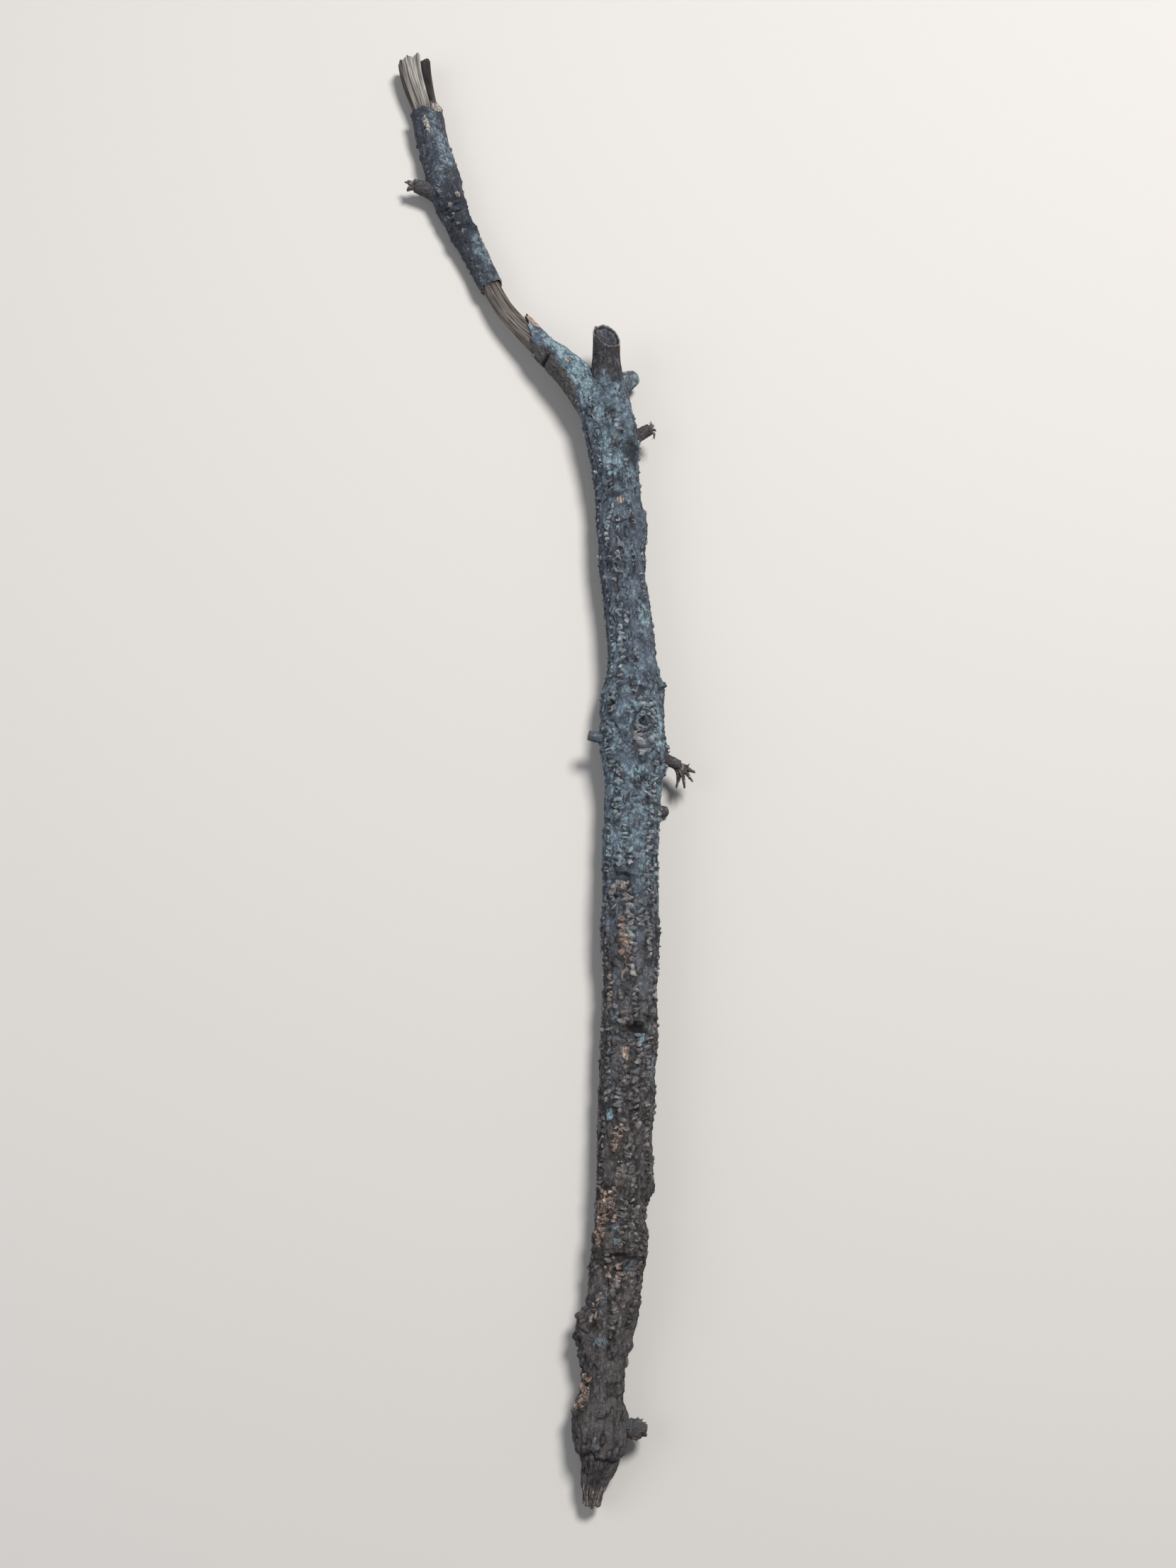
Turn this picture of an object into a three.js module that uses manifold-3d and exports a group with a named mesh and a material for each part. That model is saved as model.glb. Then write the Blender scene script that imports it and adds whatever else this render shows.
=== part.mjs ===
// A fallen tree branch, lying down: a barked stem that forks into a snapped leader and a long side limb,
// with the stubs of the twigs that broke off it.
import * as THREE from "three";
import { mergeVertices } from "three/addons/utils/BufferGeometryUtils.js";
import Module from "manifold-3d";

const wasm = await Module();
wasm.setup();

// Sizes are in millimetres. The branch lies along +Y with its foot at -Y, on the ground plane z = 0.

// Clearance between neighbouring pieces, the thickness of the loose bark round the side limb, and the size of
// the slivers that are tidied away after pieces are joined or cut.
const GAP = 0.3;
const LOOSE_BARK = 1.4;
const SLIVER = 0.03;

// A station is a point on a rod's centre line and the rod's radius there: [x, y, z, radius].
const STEM_STATIONS = [
  [1.5, -408, 9, 4],
  [4, -392, 12, 8.6],
  [7, -381, 13.8, 12.2],
  [7, -361, 14.8, 15],
  [8, -346, 15.6, 11.8],
  [9.5, -325, 16.6, 13.8],
  [13.8, -300, 17.2, 15.6],
  [17.5, -269, 17.6, 15.6],
  [19.2, -245, 17.8, 15],
  [21, -231, 18, 15.9],
  [21.2, -206, 18, 15.3],
  [23, -166, 18, 16],
  [24.4, -125, 18.2, 15.1],
  [24.7, -91, 18.5, 16.6],
  [25, -58, 18.8, 15.9],
  [26, -23, 19.2, 16.4],
  [27.5, 3, 19.6, 17.2],
  [27, 22, 19.9, 19.2],
  [26.3, 48, 19.9, 18.7],
  [27, 72, 19.5, 15],
  [25.2, 91, 19.3, 13.9],
  [22, 122, 19, 13.3],
  [20.3, 146, 19, 14],
  [20.2, 164, 19, 15.2],
  [18.1, 183, 19, 13.5],
  [14.6, 218, 19.5, 15.1],
  [10.8, 240, 20, 16.2],
  [9.6, 253, 20.3, 14.6],
  [9.6, 263, 20.3, 9],
];
const COLLAR_STATIONS = [
  [11, 226, 19.5, 11],
  [4.6, 244, 19.8, 12.6],
  [-6, 259.5, 19.5, 11.2],
  [-20.2, 275, 18.4, 9.4],
  [-28.2, 283, 17.5, 8.3],
  [-38.8, 295.7, 16, 7.7],
  [-46, 304, 15, 7.2],
];
const WOOD_STATIONS = [
  [-16, 269.5, 18.8, 7.6],
  [-27.5, 282, 17.6, 7.4],
  [-35, 290, 16.4, 6.6],
  [-42.1, 297.5, 15.2, 5.8],
  [-52.6, 311, 13.6, 5.5],
  [-60.9, 326.6, 12, 5.6],
  [-67.3, 341, 11, 5.6],
  [-81.7, 371.5, 9.8, 6.9],
  [-89, 389, 10, 7.8],
  [-100.4, 432, 10.7, 7.8],
  [-106, 456, 11.2, 8],
  [-110.8, 473.5, 11.8, 9.4],
  [-113, 485, 12.2, 10.2],
  [-114.3, 495.5, 12.4, 10.3],
];
const SLEEVE_STATIONS = [
  [-60.5, 326.5, 11.8, 7.7],
  [-67.2, 341, 11, 7.9],
  [-74, 356, 10.2, 8.5],
  [-81.7, 371.5, 9.7, 9.1],
  [-89, 389, 9.9, 10.1],
  [-95.3, 412, 10.3, 10.4],
  [-100.4, 432, 10.6, 10.1],
  [-103.6, 444, 10.8, 10.5],
  [-106, 456, 11.1, 10.2],
];
const LEADER_STATIONS = [
  [11, 232, 18.5, 11.6],
  [11.6, 250, 21, 10.6],
  [11.6, 263, 26, 9.2],
  [11.5, 276, 32, 8.8],
  [11.4, 290, 39, 8.4],
];
const FORK_SPUR_STATIONS = [
  [12, 256, 18, 6.4],
  [22, 264, 13, 6],
  [31, 266.4, 8.6, 6.2],
];
const UPPER_TWIG_STATIONS = [
  [17, 214, 20, 7],
  [24, 217.6, 20, 5.4],
  [30, 221.6, 20, 4.2],
  [38, 226.4, 20, 3.6],
];
const LEFT_TWIG_STATIONS = [
  [22, 24, 21, 4],
  [10, 25.6, 25, 3.4],
  [0.6, 27.4, 26.4, 3],
];
const FRAYED_TWIG_STATIONS = [
  [30, 18, 20, 4.8],
  [45, 15, 19, 3.7],
  [54, 11.5, 18.4, 3.2],
];
const BACK_TWIG_STATIONS = [
  [29, -14, 17, 4.2],
  [40, -13.4, 6.2, 3.8],
  [46.4, -13, 0.8, 3.4],
];
const FOOT_TWIG_STATIONS = [
  [9, -364, 15, 6.5],
  [16.5, -366, 16, 4.4],
  [20, -366.2, 16.2, 4.3],
  [24, -366.4, 16.6, 5.6],
  [28, -366.6, 16.8, 5.4],
  [33.5, -366.8, 17, 3.2],
];
const LIMB_TWIG_STATIONS = [
  [-88, 394.5, 10.2, 9],
  [-97, 395.6, 10.8, 6.8],
  [-104, 397.4, 11.4, 5],
  [-111.3, 398.8, 12.4, 3.6],
];

// Where the splayed fibres of a frayed stub end, how thick a fibre is at its root and at its point, how far
// along the stub's last stretch the fibres start, and how much of their splay they already have there.
const FRAYED_TWIG_ENDS = [
  [52.4, -1.6, 15],
  [57.4, -2.4, 17],
  [62.2, 1.4, 18.4],
  [63.4, 6.6, 19.6],
  [59.6, 10.8, 21],
];
const LIMB_TWIG_ENDS = [
  [-116.3, 402.2, 13.5],
  [-116.4, 396.4, 11.5],
  [-109.4, 402.8, 14.6],
];
const UPPER_TWIG_ENDS = [
  [40.8, 228.8, 21],
  [41, 220.4, 19],
];
const FIBRE_ROOT = 1.7;
const FIBRE_POINT = 0.7;
const FIBRE_START = 0.55;
const FIBRE_SPREAD = 0.12;

// A lump swells a rod smoothly: its place along Y, its turn in degrees from the rod's top to its right,
// how far it stands out, and how far it spreads along and round the rod.
const STEM_LUMPS = [
  { y: -314, turn: -90, out: 6.2, along: 6, round: 8 },
  { y: -264, turn: 20, out: 1.1, along: 5, round: 14 },
  { y: -236, turn: 75, out: 1.1, along: 6, round: 9 },
  { y: -208, turn: -35, out: 0.9, along: 9, round: 7 },
  { y: -147, turn: 18, out: 1.6, along: 9, round: 11 },
  { y: -120, turn: 170, out: 1.8, along: 10, round: 10 },
  { y: -61, turn: -20, out: 1.7, along: 9, round: 10 },
  { y: 16, turn: 85, out: 1, along: 8, round: 8 },
  { y: 26, turn: -60, out: 1, along: 8, round: 8 },
  { y: 30, turn: 17, out: 1.4, along: 5, round: 5 },
  { y: 58, turn: 85, out: 3.4, along: 4, round: 4 },
  { y: 95, turn: 195, out: 1.6, along: 9, round: 9 },
  { y: 212, turn: 75, out: 1.6, along: 10, round: 7 },
];
const SLEEVE_LUMPS = [
  { y: 397, turn: -80, out: 1.2, along: 7, round: 6 },
  { y: 404, turn: 85, out: 1.4, along: 5, round: 5 },
];
const NO_LUMPS = [];

// Knot holes in the stem's top: the middle of each on the bark, and its half sizes along X, Y and Z.
const STEM_PITS = [
  { middle: [28.4, -147, 34.6], half: [8, 3.6, 5] },
  { middle: [19.4, -61, 35], half: [7, 3.8, 3.4] },
  { middle: [18, -275.5, 33.4], half: [8, 2.6, 2.2] },
];

// The deep split along the right of the snapped tip.
const SPLIT = { middle: [-104.8, 476, 20], half: [1.2, 21, 8], lean: 10 };

const UP = new THREE.Vector3(0, 0, 1);

// How much of a rough break's depth is lost at each angle round it, from 0 to 1.
function raggedness(turn) {
  return 0.5 + 0.26 * Math.sin(3 * turn + 1) + 0.16 * Math.sin(7 * turn) + 0.08 * Math.sin(10 * turn + 2);
}

// The length that a break takes off a rod's end, by the turn and by the share of the radius.
function lostLength({ slant = 0, longTurn = 0, ragged = 0, dish = 0 }, turn, share) {
  const leaning = turn - THREE.MathUtils.degToRad(longTurn);
  const slope = (slant * (1 - share * Math.cos(leaning))) / 2;
  return slope + ragged * share * raggedness(turn) + dish * (1 - share);
}

function lumpHeight(lumps, y, turn, radius) {
  let height = 0;
  for (const lump of lumps) {
    const off = turn - THREE.MathUtils.degToRad(lump.turn);
    const nearest = Math.atan2(Math.sin(off), Math.cos(off));
    const along = (y - lump.y) / lump.along;
    const round = (radius * nearest) / lump.round;
    height += lump.out * Math.exp(-along * along - round * round);
  }
  return height;
}

// Low lengthwise ridges, as a share of the radius.
function ridges(depth, y, turn) {
  return depth * (0.6 * Math.sin(3 * turn + 0.021 * y) + 0.4 * Math.sin(5 * turn - 0.014 * y + 1));
}

function solidOf(geometry) {
  geometry.deleteAttribute("normal");
  geometry.deleteAttribute("uv");
  const merged = mergeVertices(geometry);
  const vertProperties = new Float32Array(merged.getAttribute("position").array);
  const triVerts = new Uint32Array(merged.index.array);
  return new wasm.Manifold(new wasm.Mesh({ numProp: 3, vertProperties, triVerts }));
}

// A short upright tube, open at both ends, with its outside at radius 1 and its inside at half of that.
function plainTube(sides, rings) {
  const outside = [];
  const inside = [];
  for (let i = 0; i <= rings; i++) {
    outside.push(new THREE.Vector2(1, i / rings - 0.5));
    inside.push(new THREE.Vector2(0.5, 0.5 - i / rings));
  }
  return new THREE.LatheGeometry([...outside, ...inside, outside[0]], sides);
}

// A closed rod along a smooth line through its stations, made by bending a plain cylinder, or a plain tube if
// the rod is hollow and has a wall.
function rod({
  stations,
  sides,
  rings,
  lumps = NO_LUMPS,
  ridgeDepth = 0,
  nearBreak = {},
  farBreak = {},
  wall = 0,
  grow = 0,
}) {
  const line = new THREE.CatmullRomCurve3(stations.map(([x, y, z]) => new THREE.Vector3(x, y, z)));
  const radii = stations.map((station) => new THREE.Vector3(station[3], 0, 0));
  const girth = new THREE.CatmullRomCurve3(radii, false, "catmullrom");
  const length = line.getLength();

  const geometry = wall ? plainTube(sides, rings) : new THREE.CylinderGeometry(1, 1, 1, sides, rings);
  const points = geometry.getAttribute("position");
  for (let i = 0; i < points.count; i++) {
    const plainRadius = Math.hypot(points.getX(i), points.getZ(i));
    const turn = Math.atan2(points.getX(i), points.getZ(i));
    const share = wall ? 1 : plainRadius;
    const inset = wall && plainRadius < 0.75 ? wall : 0;
    const start = lostLength(nearBreak, turn, share) / length;
    const end = 1 - lostLength(farBreak, turn, share) / length;
    const reach = THREE.MathUtils.lerp(start, end, points.getY(i) + 0.5);

    const centre = line.getPointAt(reach);
    const forward = line.getTangentAt(reach);
    const right = new THREE.Vector3().crossVectors(forward, UP).normalize();
    const top = new THREE.Vector3().crossVectors(right, forward);
    const radius = girth.getPoint(line.getUtoTmapping(reach)).x;
    const ridged = radius * (1 + ridges(ridgeDepth, centre.y, turn));
    const shaped = ridged + lumpHeight(lumps, centre.y, turn, radius);
    const out = share * (shaped + grow) - inset;
    centre.addScaledVector(top, out * Math.cos(turn));
    centre.addScaledVector(right, out * Math.sin(turn));
    points.setXYZ(i, centre.x, centre.y, centre.z);
  }
  return solidOf(geometry);
}

function ellipsoid({ middle, half, lean = 0 }) {
  const geometry = new THREE.SphereGeometry(1, 12, 8);
  geometry.scale(...half);
  geometry.rotateZ(THREE.MathUtils.degToRad(lean));
  geometry.translate(...middle);
  return solidOf(geometry);
}

// Joins splayed fibres to the end of a frayed stub, each a thin rod from inside the stub's last stretch.
function withFibres(stub, stations, ends) {
  const before = new THREE.Vector3(...stations.at(-2));
  const tip = new THREE.Vector3(...stations.at(-1));
  let frayed = stub;
  for (const place of ends) {
    const end = new THREE.Vector3(...place);
    const splay = end.clone().sub(tip);
    const root = before.clone().lerp(tip, FIBRE_START).addScaledVector(splay, FIBRE_SPREAD);
    const bend = tip.clone().addScaledVector(splay, 3 * FIBRE_SPREAD);
    const line = [
      [root.x, root.y, root.z, FIBRE_ROOT],
      [bend.x, bend.y, bend.z, FIBRE_ROOT],
      [end.x, end.y, end.z, FIBRE_POINT],
    ];
    frayed = frayed.add(rod({ stations: line, sides: 6, rings: 4 }));
  }
  return frayed;
}

// Stem, with its knot holes.
const stemShape = { stations: STEM_STATIONS, sides: 20, rings: 104, lumps: STEM_LUMPS, ridgeDepth: 0.03 };
let stem = rod({ ...stemShape, nearBreak: { ragged: 3 } });
for (const pit of STEM_PITS) {
  stem = stem.subtract(ellipsoid(pit));
}
const stemClearance = rod({ ...stemShape, grow: GAP });

// Side limb: its barked collar at the fork, and the bare wood that runs on from it to the snapped tip.
const collarShape = {
  stations: COLLAR_STATIONS,
  sides: 16,
  rings: 14,
  ridgeDepth: 0.02,
  farBreak: { slant: 24, longTurn: 90, ragged: 5 },
};
const woodShape = {
  stations: WOOD_STATIONS,
  sides: 12,
  rings: 44,
  ridgeDepth: 0.04,
  farBreak: { slant: 4, longTurn: 90, ragged: 4, dish: 2 },
};
const sideLimb = rod(collarShape).add(rod(woodShape)).subtract(ellipsoid(SPLIT)).subtract(stemClearance);
const collarClearance = rod({ ...collarShape, grow: GAP });

// Loose bark: a ragged tube round the side limb's wood.
const sleeveShape = {
  stations: SLEEVE_STATIONS,
  sides: 16,
  rings: 22,
  lumps: SLEEVE_LUMPS,
  ridgeDepth: 0.02,
  nearBreak: { ragged: 3 },
  farBreak: { ragged: 6 },
};
const limbBark = rod({ ...sleeveShape, wall: LOOSE_BARK });
const sleeveClearance = rod({ ...sleeveShape, grow: GAP });

// Leader: the stub of the fork's other arm, broken off on a slant that faces up.
const leaderShape = {
  stations: LEADER_STATIONS,
  sides: 16,
  rings: 12,
  ridgeDepth: 0.02,
  farBreak: { slant: 13, longTurn: 180, ragged: 2, dish: 3 },
};
const leader = rod(leaderShape).subtract(stemClearance).subtract(collarClearance);
const leaderClearance = rod({ ...leaderShape, grow: GAP });

// Broken twigs.
const twigShape = { sides: 10, rings: 8, ridgeDepth: 0.04, farBreak: { ragged: 2, dish: 1 } };
function twig(stations) {
  return rod({ ...twigShape, stations });
}

function frayedTwig(stations, ends) {
  return withFibres(twig(stations), stations, ends);
}

const forkSpur = twig(FORK_SPUR_STATIONS).subtract(stemClearance).subtract(leaderClearance);
const upperTwig = frayedTwig(UPPER_TWIG_STATIONS, UPPER_TWIG_ENDS).subtract(stemClearance);
const leftTwig = twig(LEFT_TWIG_STATIONS).subtract(stemClearance);
const rightTwig = frayedTwig(FRAYED_TWIG_STATIONS, FRAYED_TWIG_ENDS).subtract(stemClearance);
const backTwig = twig(BACK_TWIG_STATIONS).subtract(stemClearance);
const footTwig = twig(FOOT_TWIG_STATIONS).subtract(stemClearance);
const limbTwig = frayedTwig(LIMB_TWIG_STATIONS, LIMB_TWIG_ENDS).subtract(sleeveClearance);

// Materials.
const greyBark = new THREE.MeshStandardMaterial({ color: 0x6d6a66, roughness: 0.9, metalness: 0 });
const limbBarkGrey = new THREE.MeshStandardMaterial({ color: 0x5c5753, roughness: 0.9, metalness: 0 });
const bareWood = new THREE.MeshStandardMaterial({ color: 0xa08c72, roughness: 0.85, metalness: 0 });
const twigGrey = new THREE.MeshStandardMaterial({ color: 0x7d7a75, roughness: 0.9, metalness: 0 });

const laidBranch = new THREE.Group();

// Adds a piece to the branch, worn flat where it would reach below the ground.
function addPiece(name, solid, material) {
  const mesh = solid.trimByPlane([0, 0, 1], 0).simplify(SLIVER).getMesh();
  const geometry = new THREE.BufferGeometry();
  geometry.setAttribute("position", new THREE.BufferAttribute(mesh.vertProperties, 3));
  geometry.setIndex(new THREE.BufferAttribute(mesh.triVerts, 1));
  geometry.computeVertexNormals();
  const piece = new THREE.Mesh(geometry, material);
  piece.name = name;
  laidBranch.add(piece);
}

addPiece("main_stem", stem, greyBark);
addPiece("side_limb", sideLimb, bareWood);
addPiece("limb_bark", limbBark, limbBarkGrey);
addPiece("leader_stub", leader, limbBarkGrey);
addPiece("fork_spur", forkSpur, twigGrey);
addPiece("upper_twig", upperTwig, twigGrey);
addPiece("left_twig", leftTwig, twigGrey);
addPiece("frayed_twig", rightTwig, twigGrey);
addPiece("back_twig", backTwig, twigGrey);
addPiece("foot_twig", footTwig, twigGrey);
addPiece("limb_twig", limbTwig, twigGrey);

// The origin is under the middle of the branch, on the ground.
const box = new THREE.Box3().setFromObject(laidBranch);
const middle = box.getCenter(new THREE.Vector3());
laidBranch.position.set(-middle.x, -middle.y, -box.min.z);

const branch = new THREE.Group();
branch.name = "fallen_branch";
branch.add(laidBranch);

export default branch;
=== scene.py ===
"""The looks of a fallen tree branch that lies on the ground.

Its bark carries pores and lichen, its side limb is partly bare wood, and its ends are broken.
"""

import math

import bpy
import numpy as np
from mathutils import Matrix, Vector, noise
from mathutils.bvhtree import BVHTree


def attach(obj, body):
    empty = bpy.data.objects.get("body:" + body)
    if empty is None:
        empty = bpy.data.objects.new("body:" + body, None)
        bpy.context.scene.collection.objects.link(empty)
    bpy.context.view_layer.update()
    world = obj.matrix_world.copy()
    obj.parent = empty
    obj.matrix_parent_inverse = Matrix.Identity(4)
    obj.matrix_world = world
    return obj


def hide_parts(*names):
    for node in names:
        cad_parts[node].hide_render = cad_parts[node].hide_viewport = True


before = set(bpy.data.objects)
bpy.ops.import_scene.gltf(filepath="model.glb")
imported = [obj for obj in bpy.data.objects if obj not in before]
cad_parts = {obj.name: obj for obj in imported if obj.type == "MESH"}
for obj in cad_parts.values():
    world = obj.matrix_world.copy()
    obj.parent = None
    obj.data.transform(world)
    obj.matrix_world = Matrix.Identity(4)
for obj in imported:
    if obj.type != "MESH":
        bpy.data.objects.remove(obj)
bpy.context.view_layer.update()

# Lengths are in millimetres until a piece is made. Places are measured from a point near the branch's
# middle, and adding ORIGIN to them gives places in the part's own frame.
MM = 0.001
ORIGIN = np.array([29.843, -43.997, 0.0])
UP = np.array([0.0, 0.0, 1.0])
BODY = "root"

# What each point of a surface carries for its material: lichen, brown stain, painted shade in hollows,
# bared inner bark or fibre, and the paler crest of a pore or of pale wood, partly a painted highlight.
VALUES = ("lichen", "stain", "hollow", "bare", "crest")
SHARP_EDGE = math.radians(70)

# Middle lines of the larger rods, from the foot's end to the far end.
STEM_LINE = [
    (1.5, -408, 9), (4, -392, 12), (7, -361, 14.8), (9.5, -325, 16.6), (17.5, -269, 17.6),
    (21.2, -206, 18), (24.4, -125, 18.2), (25, -58, 18.8), (27, 22, 19.9), (25.2, 91, 19.3),
    (20.2, 164, 19), (14.6, 218, 19.5), (9.6, 253, 20.3), (9.6, 263, 20.3),
]
COLLAR_LINE = [
    (11, 226, 19.5), (4.6, 244, 19.8), (-6, 259.5, 19.5), (-20.2, 275, 18.4), (-28.2, 283, 17.5),
    (-38.8, 295.7, 16), (-46, 304, 15),
]
WOOD_LINE = [
    (-27.5, 282, 17.6, 7.2), (-35, 290, 16.4, 6.6), (-42.1, 297.5, 15.2, 5.8), (-52.6, 311, 13.6, 5.5),
    (-60.9, 326.6, 12, 5.6), (-67.3, 341, 11, 5.6), (-81.7, 371.5, 9.8, 6.9), (-89, 389, 10, 7.8),
    (-100.4, 432, 10.7, 7.8), (-106, 456, 11.2, 8), (-110.8, 473.5, 11.8, 9.4), (-113, 485, 12.2, 10.2),
    (-113.8, 492.5, 12.4, 10.3),
]
SLEEVE_LINE = [
    (-60.5, 326.5, 11.8), (-67.2, 341, 11), (-81.7, 371.5, 9.7), (-89, 389, 9.9), (-95.3, 412, 10.3),
    (-100.4, 432, 10.6), (-106, 456.5, 11.1),
]
LEADER_LINE = [(11, 232, 18.5), (11.6, 250, 21), (11.6, 263, 26), (11.5, 276, 32), (11.4, 290, 39)]

# Twigs: their middle points with a radius, and the far ends of the strands that they fray into.
SPUR = [(14, 254, 16, 9), (22, 261, 12.5, 7), (29, 266.4, 9.4, 4.8)]
UPPER_TWIG = [(17, 214, 20, 7), (24, 217.6, 20, 5.4), (30, 221.6, 20, 4.2), (38, 226.4, 20, 3.6)]
UPPER_TWIG_ENDS = [(40.8, 228.8, 21), (41, 220.4, 19), (42.2, 226, 18.4), (38.6, 231, 20.4)]
LEFT_TWIG = [(22, 24, 21, 4), (10, 25.6, 25, 3.4), (0.6, 27.4, 26.4, 3)]
FRAYED_TWIG = [(30, 18, 20, 4.8), (45, 15, 19, 3.7), (54, 11.5, 18.4, 3.2)]
FRAYED_TWIG_ENDS = [
    (52.4, -1.6, 15), (57.4, -2.4, 17), (62.2, 1.4, 18.4), (63.4, 6.6, 19.6), (59.6, 10.8, 21),
    (61, 3.6, 16),
]
BACK_TWIG = [(29, -14, 17, 4.2), (40, -13.4, 6.2, 3.8), (46.4, -13, 2.6, 3.2)]
FOOT_TWIG = [
    (9, -364, 15, 6.5), (16.5, -366, 16, 4.4), (20, -366.2, 16.2, 4.3), (24, -366.4, 16.6, 5.6),
    (28, -366.6, 16.8, 5.4), (31.5, -366.8, 17, 3.2),
]
LIMB_TWIG = [
    (-88, 394.5, 10.2, 9), (-97, 395.6, 10.8, 6.8), (-104, 397.4, 11.4, 5), (-110.6, 399, 12.4, 4.2),
]
LIMB_TWIG_ENDS = [(-116.3, 402.2, 13.5), (-116.4, 396.4, 11.5), (-109.4, 402.8, 14.6)]


def unit(vectors):
    return vectors / np.linalg.norm(vectors, axis=-1, keepdims=True)


def ramp(value, low, high):
    """0 up to low and 1 from high on, with a soft change between them. Low may be the larger one."""
    share = np.clip((value - low) / (high - low), 0, 1)
    return share * share * (3 - 2 * share)


def bell(value, middle, width):
    """1 where the value is at the middle, and dying out over about that width to both sides."""
    return np.exp(-(((value - middle) / width) ** 2))


def turns(columns):
    """That many turns round a rod, evenly spaced from 0."""
    return np.linspace(0, 2 * math.pi, columns, endpoint=False)


def swing(turn):
    """The same turn, from minus half a circle to half a circle."""
    return (turn + math.pi) % (2 * math.pi) - math.pi


def noise_at(points, size, seed=0):
    """Smooth noise from -1 to 1 at points, in bumps of about that size, or of (x, y, z) sizes."""
    places = (points / np.asarray(size) + seed * 17.3).reshape(-1, 3).tolist()
    return np.array([noise.noise(place) for place in places]).reshape(points.shape[:-1])


def smooth_line(points, pieces=24):
    """Many points on a smooth line through the given ones, and each one's distance along it."""
    points = np.asarray(points, float)
    ends = np.vstack([2 * points[0] - points[1], points, 2 * points[-1] - points[-2]])
    t = np.linspace(0, 1, pieces, endpoint=False)[:, None]
    runs = [
        b + t / 2 * (c - a + t * (2 * a - 5 * b + 4 * c - d + t * (3 * (b - c) + d - a)))
        for a, b, c, d in zip(ends, ends[1:], ends[2:], ends[3:])
    ]
    line = np.vstack([*runs, points[-1:]])
    steps = np.linalg.norm(np.diff(line[:, :3], axis=0), axis=1)
    return line, np.concatenate([[0], np.cumsum(steps)])


class Skin:
    """A rod's surface as rings of points, each held as a distance from the rod's middle line.

    A point's turn is 0 on the rod's top and grows towards its right. near and far are the lengths lost to a
    slanted or ragged break at the two ends, one for each column of points.
    """

    def __init__(self, line, step, columns, near=0.0, far=0.0):
        dense, length = smooth_line(line)
        self.length = length[-1]
        self.turn = turns(columns)
        rows = int(self.length / step) + 1
        share = np.linspace(0, 1, rows)[:, None]
        self.along = near + share * (self.length - near - far) * np.ones(columns)
        forward = unit(np.gradient(dense[:, :3], length, axis=0))
        right = unit(np.cross(forward, UP))
        top = np.cross(right, forward)

        def sampled(values):
            return np.stack([np.interp(self.along, length, column) for column in values.T], axis=-1)

        self.middle = sampled(dense[:, :3])
        self.forward = sampled(forward)
        turn = self.turn[None, :, None]
        self.out = np.cos(turn) * sampled(top) + np.sin(turn) * sampled(right)
        if dense.shape[1] > 3:
            self.radius = sampled(dense[:, 3:])[..., 0]

    def read_solid(self, node, reach, along_passes, around_passes):
        """Takes the distances from a solid's outer surface, and smooths its facets away."""
        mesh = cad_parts[node].data
        faces = [face.vertices[:] for face in mesh.polygons]
        tree = BVHTree.FromPolygons([vertex.co for vertex in mesh.vertices], faces)
        starts = (self.middle + self.out * reach + ORIGIN) * MM
        self.radius = np.full(self.along.shape, np.nan)
        for place in np.ndindex(self.along.shape):
            hit = tree.ray_cast(Vector(starts[place]), Vector(-self.out[place]), reach * MM)
            if hit[0] is not None:
                self.radius[place] = reach - hit[3] / MM
        rows = np.arange(len(self.radius))
        for column in self.radius.T:
            known = np.flatnonzero(~np.isnan(column))
            column[:] = np.interp(rows, known, column[known])
        self.blur(along_passes, around_passes)

    def blur(self, along_passes, around_passes):
        for _ in range(along_passes):
            padded = np.vstack([self.radius[:1], self.radius, self.radius[-1:]])
            self.radius = (padded[:-2] + 2 * padded[1:-1] + padded[2:]) / 4
        for _ in range(around_passes):
            before, after = np.roll(self.radius, 1, 1), np.roll(self.radius, -1, 1)
            self.radius = (before + 2 * self.radius + after) / 4

    def points(self):
        return self.middle + self.out * self.radius[..., None]

    def straight(self):
        """Each point's place if the rod were straight, with its length along z."""
        size = self.radius.mean()
        around = np.broadcast_to(self.turn, self.along.shape)
        return np.stack([size * np.cos(around), size * np.sin(around), self.along], axis=-1)

    def lumps(self, size, seed=0):
        """Noise at the points, in bumps of about that size."""
        return noise_at(self.points(), size, seed)

    def grain(self, across, along, seed):
        """Noise at the points in bumps of those sizes across and along the rod."""
        return noise_at(self.straight(), (across, across, along), seed)

    def away(self, y, turn, half_along, half_around):
        """How far each point is from a place on the rod: 1 on an oval of those half sizes."""
        across = swing(self.turn - math.radians(turn)) * self.radius
        return np.hypot((self.middle[..., 1] - y) / half_along, across / half_around)

    def along_at(self, y):
        """The length along the rod at which its middle line passes y."""
        return np.interp(y, self.middle[:, 0, 1], self.along[:, 0])

    def near_spots(self, spots):
        """The strongest of some soft spots at each point: (y, turn, half along, half around, strength)."""
        found = np.zeros(self.along.shape)
        for *place, strength in spots:
            found = np.maximum(found, strength * ramp(self.away(*place), 1.3, 0.5))
        return found

    def by_y(self, *stations):
        """A value at each point from (y, value) stations along the branch."""
        places, values = zip(*stations)
        return np.interp(self.middle[..., 1], places, values)


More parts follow.
